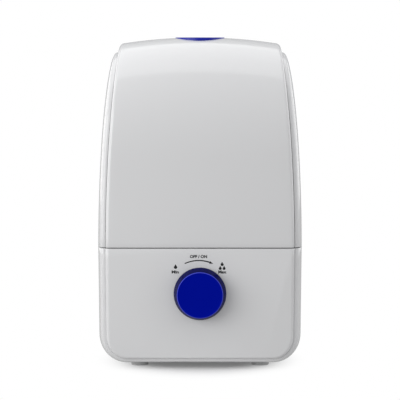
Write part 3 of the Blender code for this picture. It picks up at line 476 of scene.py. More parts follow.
# %% [markdown]
# ## Tank ribbon
# One skin from the front seam, over the crown, to the back seam. Its edges turn in with an
# elliptical rounding, and a short return behind them carries the side skins. The round hole for
# the nozzle is cut through the crown last.
# %% Tank ribbon
def ribbon_section(face_steps=14, edge_steps=10):
    section = [(None, step / face_steps) for step in range(face_steps)]
    for step in range(edge_steps + 1):
        turn = math.pi / 2 * step / edge_steps
        section.append((EDGE_WIDTH * (1 - math.sin(turn)), EDGE_DEPTH * (1 - math.cos(turn))))
    section.append((0.0, EDGE_DEPTH + EDGE_RETURN))
    return section


def ribbon_rows(leg_steps=14, arch_steps=96):
    leg = [TANK_BOTTOM + (SPRING - TANK_BOTTOM) * step / leg_steps for step in range(leg_steps)]
    stations = [(-1, z) for z in leg]
    stations += [(0, math.pi * step / arch_steps) for step in range(arch_steps + 1)]
    stations += [(1, z) for z in reversed(leg)]
    rows = []
    for facing, value in stations:
        row = []
        for inset, depth in ribbon_section():
            sunk = depth if inset is not None else 0.0
            x = RIBBON_HALF / 2
            for _ in range(4):
                if facing == 0:
                    y, z = crown_point(value, x, sunk)
                else:
                    y, z = facing * (DEPTH / 2 - sunk), value
                side = ribbon_half(z)
                x = (side - EDGE_WIDTH) * depth if inset is None else side - inset
            row.append((x, y, z))
        rows.append([(-x, y, z) for x, y, z in reversed(row[1:])] + row)
    return rows


NOZZLE_RADIUS = (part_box("nozzle_collar")[1].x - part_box("nozzle_collar")[0].x) / 2
tank_ribbon = skin("tank_ribbon", ribbon_rows(), gloss_white)
cut(tank_ribbon, rod("crown_hole", NOZZLE_RADIUS + GAP, (0, CENTRE_Y, HEIGHT - 0.03),
                     (0, CENTRE_Y, HEIGHT + 0.01)))
smooth(tank_ribbon)
hand_over(tank_ribbon, "tank", "gloss_white_plastic", "tank_wrap")


# %% [markdown]
# ## Tank sides
# Each side is a shallow bulge that stands in the ribbon's edge, full for most of its width and
# turning in sharply at its rim. Rows run up the side and crowd together at the shoulder.
# %% Tank sides
def side_rows(side, leg_steps=10, arch_steps=44, across=44):
    heights = [TANK_BOTTOM + (SPRING - TANK_BOTTOM) * step / leg_steps
               for step in range(leg_steps)]
    power = 2 / CROWN_POWER
    rise = EAR_TOP - SPRING
    for step in range(arch_steps + 1):
        turn = math.radians(89.9) * math.sin(math.pi / 2 * step / arch_steps)
        heights.append(SPRING + rise * math.sin(turn) ** power)
    rows = []
    for z in heights:
        above = max(0.0, (z - SPRING) / rise)
        half = SIDE_HALF_DEPTH * (1 - above ** CROWN_POWER) ** (1 / CROWN_POWER)
        row = []
        for step in range(-across, across + 1):
            turn = math.pi / 2 * math.sin(math.pi / 2 * step / across)
            y = half * math.sin(turn)
            share = (abs(y) / SIDE_HALF_DEPTH) ** CROWN_POWER + above ** CROWN_POWER
            x = ribbon_half(z) + GAP + bulge(share ** (1 / CROWN_POWER))
            row.append((side * x, y, z))
        rows.append(row)
    return rows


for label, side in (("left", -1), ("right", 1)):
    panel = smooth(skin(f"tank_side_skin_{label}", side_rows(side), gloss_white))
    hand_over(panel, "tank", "gloss_white_plastic", f"tank_side_{label}")


# %% [markdown]
# ## Base housing
# The base repeats the tank's section, and carries its rounded edge round the lower corners and
# along the bottom. It is lofted from the front face to the back face: one outline, drawn in by a
# growing inset. The holes for the control, the cord and the bottom cover are cut afterwards.
# %% Base housing
def base_outline(inset, side_steps=10, corner_steps=18, floor_steps=10):
    raised = inset * UNDERSIDE_SHARE
    centre_z = BASE_LOW + CORNER_RADIUS
    centre_x = ribbon_half(centre_z) + GAP + BULGE - CORNER_RADIUS
    half = []
    for step in range(side_steps):
        z = BASE_TOP + (centre_z - BASE_TOP) * step / side_steps
        half.append((ribbon_half(z) + GAP + BULGE - inset, z))
    for step in range(corner_steps + 1):
        turn = math.pi / 2 * step / corner_steps
        x = centre_x + (CORNER_RADIUS - inset) * math.cos(turn)
        half.append((x, centre_z - (CORNER_RADIUS - raised) * math.sin(turn)))
    for step in range(1, floor_steps):
        half.append((centre_x * (1 - step / floor_steps), BASE_LOW + raised))
    middle = [(0.0, BASE_LOW + raised)]
    return [(-x, z) for x, z in half] + middle + half[::-1]


def base_stations(edge_steps=10, belt_steps=26):
    stations = []
    for step in range(edge_steps + 1):
        turn = math.pi / 2 * step / edge_steps
        inset = GAP + BULGE + EDGE_WIDTH * (1 - math.sin(turn))
        stations.append((DEPTH / 2 - EDGE_DEPTH * (1 - math.cos(turn)), inset))
    for step in range(belt_steps):
        turn = math.pi / 2 * math.cos(math.pi / 2 * step / belt_steps)
        share = math.sin(turn)
        stations.append((SIDE_HALF_DEPTH * share - (GAP if step == 0 else 0),
                         BULGE - bulge(share)))
    return [(-y, i) for y, i in stations] + [(0, 0)] + [(y, i) for y, i in stations[::-1]]


def base_bmesh():
    """The belt and edges as rows, closed at both ends by a flat face down to the seam."""
    bm = bmesh.new()
    grid = [[bm.verts.new((x, y + CENTRE_Y, z)) for x, z in base_outline(inset)]
            for y, inset in base_stations()]
    for near, far in zip(grid, grid[1:]):
        for i in range(len(near) - 1):
            bm.faces.new((near[i], near[i + 1], far[i + 1], far[i]))
    bm.faces.new(grid[0][::-1])
    bm.faces.new(grid[-1])
    bmesh.ops.recalc_face_normals(bm, faces=bm.faces)
    front = min(bm.faces, key=lambda face: face.calc_center_median().y)
    if front.normal.y > 0:
        bmesh.ops.reverse_faces(bm, faces=bm.faces)
    return bm


def block(name, low, high, corner):
    """A block tool with rounded upright edges."""
    bm = bmesh.new()
    bmesh.ops.create_cube(bm, size=1)
    low, high = Vector(low), Vector(high)
    for vert in bm.verts:
        vert.co = (low + high) / 2 + Vector(part * side for part, side in zip(vert.co, high - low))
    upright = [e for e in bm.edges if abs(e.verts[0].co.z - e.verts[1].co.z) > 1e-6]
    bmesh.ops.bevel(bm, geom=upright, offset=corner, segments=8, affect="EDGES", profile=0.5)
    return from_bmesh(name, bm, printing_ink)


knob_low, knob_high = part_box("knob")
KNOB_X = (knob_low.x + knob_high.x) / 2
KNOB_Z = (knob_low.z + knob_high.z) / 2
gland_low, gland_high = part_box("cord_gland")
GLAND_X = (gland_low.x + gland_high.x) / 2
GLAND_Z = (gland_low.z + gland_high.z) / 2
cover_low, cover_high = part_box("base_floor")

base_housing = new_object("base_housing", base_bmesh(), gloss_white)
softened(walled(base_housing), RIM, RIM_ANGLE)
cut(base_housing, rod("control_hole", 5 * MM, (KNOB_X, FRONT - 0.01, KNOB_Z),
                      (KNOB_X, FRONT + 0.008, KNOB_Z), 48))
cut(base_housing, rod("cord_hole", 5.6 * MM, (GLAND_X, BACK - 0.008, GLAND_Z),
                      (GLAND_X, BACK + 0.01, GLAND_Z), 48))
cover_gap = Vector((GAP, GAP, 0))
cut(base_housing, block("cover_hole", cover_low - cover_gap - Vector((0, 0, 0.01)),
                        cover_high + cover_gap + Vector((0, 0, 0.006)), 8 * MM + GAP))
smooth(base_housing)
hand_over(base_housing, "base", "gloss_white_plastic", "base_shell")


# %% [markdown]
# ## Turned pieces
# Knob, nozzle and feet are turned: a profile is spun round its own axis. Small arcs stand in the
# corners of each profile, because a real moulding has no perfectly sharp edge.
# %% Spinning a profile
def rounded_profile(corners, steps=5):
    """Replaces each (radius, height, fillet) corner by an arc of that fillet."""
    line = []
    for i, (r, h, fillet) in enumerate(corners):
        here = Vector((r, h))
        if fillet == 0 or i in (0, len(corners) - 1):
            line.append(here)
            continue
        before = Vector(corners[i - 1][:2]) - here
        after = Vector(corners[i + 1][:2]) - here
        reach = min(fillet, before.length * 0.45, after.length * 0.45)
        start, end = here + before.normalized() * reach, here + after.normalized() * reach
        for step in range(steps + 1):
            t = step / steps
            line.append((1 - t) ** 2 * start + 2 * t * (1 - t) * here + t * t * end)
    return line


def spun(name, corners, centre, finish, steps=128, towards=(0, 0, 1)):
    """A turned piece whose heights run from centre along towards."""
    bm = bmesh.new()
    rings = []
    for point in rounded_profile(corners):
        if point.x < 1e-7:
            rings.append([bm.verts.new((0, 0, point.y))])
            continue
        rings.append([bm.verts.new((point.x * math.cos(math.tau * s / steps),
                                    point.x * math.sin(math.tau * s / steps), point.y))
                      for s in range(steps)])
    for one, two in zip(rings, rings[1:]):
        for s in range(steps):
            t = (s + 1) % steps
            loop = [one[s % len(one)], one[t % len(one)], two[t % len(two)], two[s % len(two)]]
            loop = list(dict.fromkeys(loop))
            if len(loop) > 2:
                bm.faces.new(loop)
    turn = Vector(towards).to_track_quat("Z", "Y").to_matrix().to_4x4()
    bmesh.ops.transform(bm, matrix=turn, verts=bm.verts)
    bmesh.ops.translate(bm, vec=Vector(centre), verts=bm.verts)
    return from_bmesh(name, bm, finish)


# %% [markdown]
# ## Mist control knob
# A deep blue cup with a slightly tapered side, a narrow chamfer round its flat face and a hollow
# back with a hub for the shaft. A thin light ring is painted on the chamfer as a highlight, and the
# side is painted darker as shade.
# %% Painted shade and highlight on the knob
def ramp_over(tree, share, stops):
    """A colour ramp through (radius, colour) stops, fed by a share of the knob's radius."""
    ramp = node(tree, "ShaderNodeValToRGB")
    elements = ramp.color_ramp.elements
    elements.remove(elements[-1])
    (radius, tone), *others = stops
    elements[0].position, elements[0].color = radius / KNOB_RADIUS, (*tone, 1)
    for radius, tone in others:
        elements.new(radius / KNOB_RADIUS).color = (*tone, 1)
    link(tree, share, "Value", ramp, "Fac")
    return ramp


def radial_shade_and_highlight(material, centre, bands):
    """Tones the body colour by the distance from an axis as painted shade, and paints a highlight on
    a thin ring.
    """
    tree = material.node_tree
    shader = tree.nodes["Principled BSDF"]
    colour = shader.inputs["Base Color"].links[0].from_socket
    place = node(tree, "ShaderNodeTexCoord")
    mapping = node(tree, "ShaderNodeMapping", Scale=(1, 0, 1),
                   Location=(-centre[0], 0, -centre[1]))
    link(tree, place, "Object", mapping, "Vector")
    reach = node(tree, "ShaderNodeVectorMath", operation="LENGTH")
    link(tree, mapping, "Vector", reach, "Vector")
    share = node(tree, "ShaderNodeMath", operation="DIVIDE")
    link(tree, reach, "Value", share, 0)
    share.inputs[1].default_value = KNOB_RADIUS
    tones = ramp_over(tree, share, bands)
    tinted = node(tree, "ShaderNodeMix", data_type="RGBA", blend_type="MULTIPLY", Factor=1.0)
    tree.links.new(colour, tinted.inputs[6])
    link(tree, tones, "Color", tinted, 7)
    ring = ramp_over(tree, share, [(RING_INNER, (0, 0, 0)),
                                   ((RING_INNER + RING_OUTER) / 2, (1, 1, 1)),
                                   (RING_OUTER, (0, 0, 0))])
    lit = node(tree, "ShaderNodeMix", data_type="RGBA", blend_type="MIX")
    link(tree, ring, "Color", lit, "Factor")
    link(tree, tinted, 2, lit, 6)
    lit.inputs[7].default_value = (*PAINTED_RING_HIGHLIGHT, 1)
    link(tree, lit, 2, shader, "Base Color")


# %% Knob
PROUD = FRONT - knob_low.y
KNOB_RADIUS = (knob_high.x - knob_low.x) / 2
FACE_RADIUS = 22.4 * MM
knob_profile = [
    (0, PROUD - 0.25 * MM, 0),
    (FACE_RADIUS - 2.2 * MM, PROUD - 0.25 * MM, 1 * MM),
    (FACE_RADIUS - 1.1 * MM, PROUD, 0.3 * MM),
    (FACE_RADIUS - 0.5 * MM, PROUD, 0.3 * MM),
    (FACE_RADIUS, PROUD - 0.7 * MM, 0.3 * MM),
    (KNOB_RADIUS, 2.3 * MM, 0.6 * MM),
    (KNOB_RADIUS, 0.8 * MM, 0.3 * MM),
    (KNOB_RADIUS - 2.5 * MM, 0.8 * MM, 0.2 * MM),
    (KNOB_RADIUS - 4.5 * MM, PROUD - 3 * MM, 1 * MM),
    (6.5 * MM, PROUD - 3 * MM, 1 * MM),
    (6.5 * MM, 4.4 * MM, 0.2 * MM),
    (3.3 * MM, 4.4 * MM, 0.2 * MM),
    (3.3 * MM, PROUD - 3.7 * MM, 0),
    (0, PROUD - 3.7 * MM, 0),
]
# The side tone is painted shade and the ring colour a painted highlight; the face keeps its own
# colour.
FACE_TONE = (1, 1, 1)
PAINTED_SIDE_SHADE = (0.3, 0.12, 0.24)
RING_INNER = FACE_RADIUS - 0.8 * MM
RING_OUTER = FACE_RADIUS + 0.1 * MM
PAINTED_RING_HIGHLIGHT = (0.11, 0.13, 0.75)
radial_shade_and_highlight(knob_blue, (KNOB_X, KNOB_Z),
             [(0, FACE_TONE), (FACE_RADIUS - 0.3 * MM, FACE_TONE),
              (FACE_RADIUS + 0.2 * MM, PAINTED_SIDE_SHADE)])
mist_knob = spun("mist_knob", knob_profile, (KNOB_X, FRONT, KNOB_Z), knob_blue, 160,
                 (0, -1, 0))
smooth(mist_knob, 40)
hand_over(mist_knob, "control_knob", "gloss_blue_plastic", "knob")

# %% [markdown]
# ## Mist nozzle
# A blue collar let into the crown, and a round cap in it that turns to aim the mist. The cap has
# an oblong mouth to one side, with a shallow dish round it. Both are flush at the top, so from
# the front only the collar's rim shows where the crown falls away from it.
# %% Nozzle
collar_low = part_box("nozzle_collar")[0]
cap_low, cap_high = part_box("nozzle_cap")
CAP_RADIUS = (cap_high.x - cap_low.x) / 2
BORE = 14.7 * MM
SPIGOT = 16.7 * MM
RECESS = HEIGHT - 4 * MM
SEAT = HEIGHT - 7.2 * MM
collar_profile = [
    (CAP_RADIUS + GAP, HEIGHT - 1 * MM, 0),
    (CAP_RADIUS + GAP, HEIGHT, 0.3 * MM),
    (NOZZLE_RADIUS, HEIGHT, 0.7 * MM),
    (NOZZLE_RADIUS, SEAT, 0.3 * MM),
    (SPIGOT, SEAT, 0.3 * MM),
    (SPIGOT, collar_low.z, 0.4 * MM),
    (BORE, collar_low.z, 0.4 * MM),
    (BORE, RECESS, 0.3 * MM),
    (CAP_RADIUS + GAP, RECESS, 0.2 * MM),
    (CAP_RADIUS + GAP, HEIGHT - 1 * MM, 0),
]
collar = smooth(spun("nozzle_ring", collar_profile, (0, CENTRE_Y, 0), gloss_blue))
hand_over(collar, "nozzle", "gloss_blue_plastic", "nozzle_collar")

SLEEVE = BORE - GAP
cap_profile = [
    (0, HEIGHT - 1 * MM, 0),
    (CAP_RADIUS - 7 * MM, HEIGHT - 1 * MM, 2 * MM),
    (CAP_RADIUS - 4 * MM, HEIGHT, 1 * MM),
    (CAP_RADIUS, HEIGHT, 0.6 * MM),
    (CAP_RADIUS, RECESS + GAP, 0.3 * MM),
    (SLEEVE, RECESS + GAP, 0.2 * MM),
    (SLEEVE, cap_low.z, 0.3 * MM),
    (SLEEVE - 1.6 * MM, cap_low.z, 0.3 * MM),
    (SLEEVE - 1.6 * MM, HEIGHT - 2.6 * MM, 0.3 * MM),
    (0, HEIGHT - 2.6 * MM, 0),
]
outlet = spun("mist_director", cap_profile, (0, CENTRE_Y, 0), gloss_blue)
mouth_y = CENTRE_Y - 5 * MM
cut(outlet, block("mouth", (-9.5 * MM, mouth_y - 4.5 * MM, HEIGHT - 0.006),
                  (9.5 * MM, mouth_y + 4.5 * MM, HEIGHT + 0.006), 4.4 * MM))
smooth(outlet)
hand_over(outlet, "mist_outlet", "gloss_blue_plastic", "nozzle_cap")

# %% [markdown]
# ## Feet
# Grey rubber discs with a soft lower edge and two grip grooves in the sole.
# %% Feet
for label in ("front_left", "front_right", "back_left", "back_right"):
    low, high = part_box(f"foot_{label}")
    radius = (high.x - low.x) / 2
    profile = [
        (0, high.z, 0), (radius, high.z, 0.3 * MM), (radius, 0, 1.2 * MM),
        (radius * 0.80, 0, 0.2 * MM), (radius * 0.76, 0.6 * MM, 0.2 * MM),
        (radius * 0.66, 0.6 * MM, 0.2 * MM), (radius * 0.62, 0, 0.2 * MM),
        (radius * 0.40, 0, 0.2 * MM), (radius * 0.36, 0.6 * MM, 0.2 * MM),
        (radius * 0.26, 0.6 * MM, 0.2 * MM), (radius * 0.22, 0, 0.2 * MM), (0, 0, 0),
    ]
    centre = ((low.x + high.x) / 2, (low.y + high.y) / 2, 0)
    foot = smooth(spun(f"rubber_foot_{label}", profile, centre, foot_rubber, 64))
    hand_over(foot, "base", "grey_rubber", f"foot_{label}")

# %% [markdown]
# ## Patterns
# Slots, screws and grip ribs repeat, so their places are worked out by Geometry Nodes: a grid
# or a circle of points, one small shape on each, realised into a single mesh with its finish.
# Changing a count or a spacing moves every copy at once.
# %% Pattern trees
def new_tree(name, inputs):
    tree = bpy.data.node_groups.new(name, "GeometryNodeTree")
    tree.interface.new_socket("Geometry", in_out="OUTPUT", socket_type="NodeSocketGeometry")
    for label, kind in inputs:
        tree.interface.new_socket(label, in_out="INPUT", socket_type="NodeSocket" + kind)
    return tree, tree.nodes.new("NodeGroupInput"), tree.nodes.new("NodeGroupOutput")


def math_node(tree, operation, first, second=None):
    made = tree.nodes.new("ShaderNodeMath")
    made.operation = operation
    for socket, value in zip(made.inputs, (first, second)):
        if isinstance(value, (int, float)):
            socket.default_value = value
        elif value is not None:
            tree.links.new(value, socket)
    return made.outputs[0]


def finish_tree(tree, source, sink, count, position, turn):
    """Points at position, one copy of the Shape input on each, realised, with its finish."""
    points = tree.nodes.new("GeometryNodePoints")
    shape = tree.nodes.new("GeometryNodeObjectInfo")
    copies = tree.nodes.new("GeometryNodeInstanceOnPoints")
    real = tree.nodes.new("GeometryNodeRealizeInstances")
    finish = tree.nodes.new("GeometryNodeSetMaterial")
    tree.links.new(count, points.inputs["Count"])
    tree.links.new(position, points.inputs["Position"])
    tree.links.new(source.outputs["Shape"], shape.inputs["Object"])
    tree.links.new(points.outputs[0], copies.inputs["Points"])
    tree.links.new(shape.outputs["Geometry"], copies.inputs["Instance"])
    if turn is not None:
        tree.links.new(turn, copies.inputs["Rotation"])
    tree.links.new(copies.outputs[0], real.inputs[0])
    tree.links.new(real.outputs[0], finish.inputs["Geometry"])
    tree.links.new(source.outputs["Finish"], finish.inputs["Material"])
    tree.links.new(finish.outputs[0], sink.inputs[0])
    return tree


def grid_tree():
    tree, source, sink = new_tree("grid_pattern", (
        ("Columns", "Int"), ("Rows", "Int"), ("Column Spacing", "Float"),
        ("Row Spacing", "Float"), ("Shape", "Object"), ("Finish", "Material")))
    index = tree.nodes.new("GeometryNodeInputIndex").outputs[0]
    columns, rows = source.outputs["Columns"], source.outputs["Rows"]
    column = math_node(tree, "MODULO", index, columns)
    row = math_node(tree, "FLOOR", math_node(tree, "DIVIDE", index, columns))
    place = tree.nodes.new("ShaderNodeCombineXYZ")
    for axis, number, count, spacing in ((0, column, columns, "Column Spacing"),
                                         (1, row, rows, "Row Spacing")):
        middle = math_node(tree, "MULTIPLY", math_node(tree, "SUBTRACT", count, 1), 0.5)
        steps = math_node(tree, "SUBTRACT", number, middle)
        tree.links.new(math_node(tree, "MULTIPLY", steps, source.outputs[spacing]),
                       place.inputs[axis])
    count = math_node(tree, "MULTIPLY", columns, rows)
    return finish_tree(tree, source, sink, count, place.outputs[0], None)


def circle_tree():
    tree, source, sink = new_tree("circle_pattern", (
        ("Count", "Int"), ("Radius", "Float"), ("Shape", "Object"), ("Finish", "Material")))
    index = tree.nodes.new("GeometryNodeInputIndex").outputs[0]
    share = math_node(tree, "DIVIDE", index, source.outputs["Count"])
    angle = math_node(tree, "MULTIPLY", share, math.tau)
    place = tree.nodes.new("ShaderNodeCombineXYZ")
    turn = tree.nodes.new("ShaderNodeCombineXYZ")
    for axis, wave in ((0, "COSINE"), (1, "SINE")):
        reach = math_node(tree, "MULTIPLY", math_node(tree, wave, angle),
                          source.outputs["Radius"])
        tree.links.new(reach, place.inputs[axis])
    tree.links.new(angle, turn.inputs["Z"])
    return finish_tree(tree, source, sink, source.outputs["Count"], place.outputs[0],
                       turn.outputs[0])


GRID = grid_tree()
CIRCLE = circle_tree()


def pattern(name, tree, at, **values):
    """Runs a pattern tree and moves the plain mesh it leaves to its place."""
    shape = values["Shape"]
    obj = bpy.data.objects.new(name, bpy.data.meshes.new(name))
    scene.collection.objects.link(obj)
    modifier = obj.modifiers.new("pattern", "NODES")
    modifier.node_group = tree
    for item in tree.interface.items_tree:
        if item.in_out == "INPUT":
            modifier[item.identifier] = values[item.name]
    apply_modifiers(obj)
    bpy.data.objects.remove(shape)
    for vert in obj.data.vertices:
        vert.co += Vector(at)
    print(name, len(obj.data.polygons), "faces from", tree.name)
    return obj


# %% [markdown]
# ## Bottom cover and screws
# The cover plate closes the base from below. Seven slots under the fan take in air, so one slot
# is drawn and the grid repeats it as a cutting tool. The four cross-head screws are one shape on
# a two by two grid.
# %% Bottom cover
foot_low, foot_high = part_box("foot_front_left")
FOOT_X = -(foot_low.x + foot_high.x) / 2
FOOT_Y = CENTRE_Y - (foot_low.y + foot_high.y) / 2
screw_low, screw_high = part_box("floor_screw_front_left")
SCREW_X = -(screw_low.x + screw_high.x) / 2
SCREW_Y = CENTRE_Y - (screw_low.y + screw_high.y) / 2
fan_low, fan_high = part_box("fan_frame")
FAN_Y = (fan_low.y + fan_high.y) / 2
FAN_SIZE = fan_high.x - fan_low.x
SHANK_RADIUS = 1.8 * MM
HEAD_HOLE = 3.2 * MM
CORNER = 8 * MM

cover = block("bottom_cover", cover_low, cover_high, CORNER)
cover.data.materials[0] = gloss_white
slot_shape = block("slot", (-1.5 * MM, -FAN_SIZE / 2 + 6 * MM, -5 * MM),
                   (1.5 * MM, FAN_SIZE / 2 - 6 * MM, 5 * MM), 1.45 * MM)
slots = pattern("slots", GRID, (0, FAN_Y, cover_low.z), Columns=7, Rows=1,
                **{"Column Spacing": FAN_SIZE / 8, "Row Spacing": 0.0},
                Shape=slot_shape, Finish=gloss_white)
cut(cover, slots)
for x in (-1, 1):
    for y in (-1, 1):
        socket = (x * FOOT_X, CENTRE_Y + y * FOOT_Y)
        cut(cover, rod("socket", (foot_high.x - foot_low.x) / 2 + GAP,
                       (*socket, 0), (*socket, cover_low.z + 1 * MM)))
        head = (x * SCREW_X, CENTRE_Y + y * SCREW_Y)
        cut(cover, rod("head", HEAD_HOLE, (*head, 0), (*head, cover_low.z + 1.2 * MM), 48))
        cut(cover, rod("shank", SHANK_RADIUS, (*head, 0), (*head, cover_high.z + 1 * MM), 48))
smooth(softened(cover, 0.25 * MM), 30)
hand_over(cover, "base", "gloss_white_plastic", "base_floor")

# %% Screws
screw_profile = [
    (0, 0, 0), (2.0 * MM, 0, 0), (2.9 * MM, 0.35 * MM, 0.3 * MM),
    (2.9 * MM, 0.9 * MM, 0.1 * MM), (1.5 * MM, 0.9 * MM, 0.2 * MM),
    (1.5 * MM, screw_high.z - screw_low.z - 1 * MM, 0.2 * MM),
    (0, screw_high.z - screw_low.z, 0),
]
screw_shape = spun("screw", screw_profile, (0, 0, 0), plated_steel, 32)
for turn in (0, 1):
    arm = (2.2 * MM, 0.4 * MM)
    half = Vector((arm[turn], arm[1 - turn], 0))
    cut(screw_shape, block("drive", -half - Vector((0, 0, 1 * MM)),
                           half + Vector((0, 0, 0.7 * MM)), 0.1 * MM))
smooth(screw_shape)
screws = pattern("cover_screws", GRID, (0, CENTRE_Y, screw_low.z), Columns=2, Rows=2,
                 **{"Column Spacing": 2 * SCREW_X, "Row Spacing": 2 * SCREW_Y},
                 Shape=screw_shape, Finish=plated_steel)
smooth(screws)
hand_over(screws, "base", "steel", "floor_screw_front_left", "floor_screw_front_right",
          "floor_screw_back_left", "floor_screw_back_right")


# %% [markdown]
# ## Water tray
# Under the tank lies one tray moulding: a flat rim, a basin with rounded corners and floor, the
# pin that opens the tank's valve and the post that guides the float. The mist maker's cup and the
# air stack are let into its floor. The basin is a loft between outlines, sampled along rays.
# %% Tray outlines
def plate_outline(inset, past_return=False, steps=48):
    side = RIBBON_HALF - inset
    edge = SIDE_HALF_DEPTH - inset
    limit = edge - EDGE_RETURN if past_return else edge
    right = [(side - EDGE_WIDTH, -(DEPTH / 2 - inset))]
    if past_return:
        right.append((side, -limit))
    for step in range(-steps, steps + 1):
        y = limit * math.sin(math.pi / 2 * step / steps)
        right.append((side + bulge(abs(y) / edge), y))
    if past_return:
        right.append((side, limit))
    right.append((side - EDGE_WIDTH, DEPTH / 2 - inset))
    return right + [(-x, y) for x, y in right[::-1]]


def rounded_rectangle(half_x, low_y, high_y, radius, steps=12):
    corners = ((half_x - radius, high_y - radius, 0), (-half_x + radius, high_y - radius, 1),
               (-half_x + radius, low_y + radius, 2), (half_x - radius, low_y + radius, 3))
    return [(x + radius * math.cos(math.pi / 2 * (quarter + step / steps)),
             y + radius * math.sin(math.pi / 2 * (quarter + step / steps)))
            for x, y, quarter in corners for step in range(steps + 1)]


def along_rays(outline, middle_y, rays=288):
    """Where rays from (0, middle_y) leave a closed outline."""
    points = [Vector(point) for point in outline]
    hits = []
    for ray in range(rays):
        turn = math.tau * (ray + 0.5) / rays
        way = Vector((math.cos(turn), math.sin(turn)))
        best = 0.0
        for a, b in zip(points, points[1:] + points[:1]):
            edge = b - a
            cross = way.x * edge.y - way.y * edge.x
            if abs(cross) < 1e-12:
                continue
            start = a - Vector((0, middle_y))
            reach = (start.x * edge.y - start.y * edge.x) / cross
            share = (start.x * way.y - start.y * way.x) / cross
            if reach > best and -1e-6 <= share <= 1 + 1e-6:
                best = reach
        hits.append((way.x * best, middle_y + way.y * best))
    return hits


def lofted(name, rings, finish):
    """A sheet through closed rings of (x, y) at given heights, closed at the last one."""
    bm = bmesh.new()
    loops = [[bm.verts.new((x, y + CENTRE_Y, z)) for x, y in ring] for ring, z in rings]
    for one, two in zip(loops, loops[1:]):
        for i in range(len(one)):
            j = (i + 1) % len(one)
            bm.faces.new((one[i], one[j], two[j], two[i]))
    bm.faces.new(loops[-1])
    return walled(new_object(name, bm, finish))


def joined(name, parts):
    """One object out of several closed ones."""
    bm = bmesh.new()
    for part in parts:
        bm.from_mesh(part.data)
    finish = parts[0].data.materials[0]
    for part in parts:
        bpy.data.objects.remove(part)
    return new_object(name, bm, finish)


# %% Water tray
PLATE_INSET = WALL + 2 * GAP
BASIN_FLOOR = SEAM - 32 * MM
BASIN_HALF = WIDTH / 2 - 16 * MM
BASIN_FRONT = -(DEPTH / 2 - 27 * MM)
BASIN_BACK = DEPTH / 2 - 15 * MM
BASIN_MIDDLE = (BASIN_FRONT + BASIN_BACK) / 2
TRANSDUCER_Y = (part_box("transducer_disc")[0].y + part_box("transducer_disc")[1].y) / 2
CAP_X = (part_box("tank_cap")[0].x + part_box("tank_cap")[1].x) / 2
float_low, float_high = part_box("float_ring")
FLOAT_X = (float_low.x + float_high.x) / 2
FLOAT_Y = (float_low.y + float_high.y) / 2
stem_low, stem_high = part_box("valve_stem")
TANK_FLOOR_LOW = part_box("tank_floor")[1].z - WALL


def basin(grow):
    outline = rounded_rectangle(BASIN_HALF + grow, BASIN_FRONT - grow, BASIN_BACK + grow,
                                12 * MM + grow)
    return along_rays(outline, BASIN_MIDDLE)


tray_rings = [(along_rays(plate_outline(PLATE_INSET), BASIN_MIDDLE), BASE_TOP)]
for step in range(6):
    turn = math.pi / 2 * step / 5
    tray_rings.append((basin(2 * MM * (1 - math.sin(turn))),
                       BASE_TOP - 2 * MM * (1 - math.cos(turn))))
for step in range(6):
    turn = math.pi / 2 * step / 5
    tray_rings.append((basin(-3 * MM * (1 - math.cos(turn))),
                       BASIN_FLOOR + 3 * MM * (1 - math.sin(turn))))
tray = lofted("tray_sheet", tray_rings, satin_white)
POCKET_FLOOR = BASIN_FLOOR - 10.5 * MM
cut(tray, rod("pocket_hole", 16 * MM, (0, TRANSDUCER_Y, BASIN_FLOOR - 0.02),
              (0, TRANSDUCER_Y, BASIN_FLOOR + 0.01)))
STACK_Y = CENTRE_Y + 22 * MM
STACK_TOP = TANK_FLOOR_LOW - 8 * MM
stack_half = Vector((9 * MM, 6 * MM, 0))
stack_inner = Vector((7 * MM, 4 * MM, 0))
stack_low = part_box("air_stack")[0].z
stack_foot = Vector((0, STACK_Y, stack_low))
stack_head = Vector((0, STACK_Y, STACK_TOP))
clearance = Vector((GAP, GAP, 0.02))
cut(tray, block("stack_hole", stack_foot - stack_half - clearance,
                stack_foot + stack_half + clearance, 2 * MM))
pin = spun("pin", [
    (0, stem_low.z - GAP, 0), (2.2 * MM, stem_low.z - GAP, 0.8 * MM),
    (4.5 * MM, BASIN_FLOOR + 0.5 * MM, 2 * MM), (6.5 * MM, BASIN_FLOOR, 0.2 * MM),
    (6.5 * MM, BASIN_FLOOR - 1 * MM, 0), (0, BASIN_FLOOR - 1 * MM, 0)],
    (CAP_X, CENTRE_Y, 0), satin_white, 64)
float_post = spun("float_post", [
    (0, BASIN_FLOOR + 18 * MM, 0), (2.5 * MM, BASIN_FLOOR + 18 * MM, 0.7 * MM),
    (2.5 * MM, BASIN_FLOOR - 1 * MM, 0), (0, BASIN_FLOOR - 1 * MM, 0)],
    (FLOAT_X, FLOAT_Y, 0), satin_white, 64)
posts = []
for x in (-1, 1):
    for y in (-1, 1):
        low = cover_high.z + GAP
        posts.append(spun("post", [
            (1.8 * MM, low, 0), (4 * MM, low, 0.3 * MM), (4 * MM, BASIN_FLOOR - 2 * MM, 0),
            (1.8 * MM, BASIN_FLOOR - 2 * MM, 0), (1.8 * MM, low, 0)],
            (x * SCREW_X, CENTRE_Y + y * SCREW_Y, 0), satin_white, 48))
tray_moulding = joined("water_tray_moulding", [tray, pin, float_post, *posts])
smooth(tray_moulding, 40)
hand_over(tray_moulding, "base", "satin_white_plastic", "water_tray")

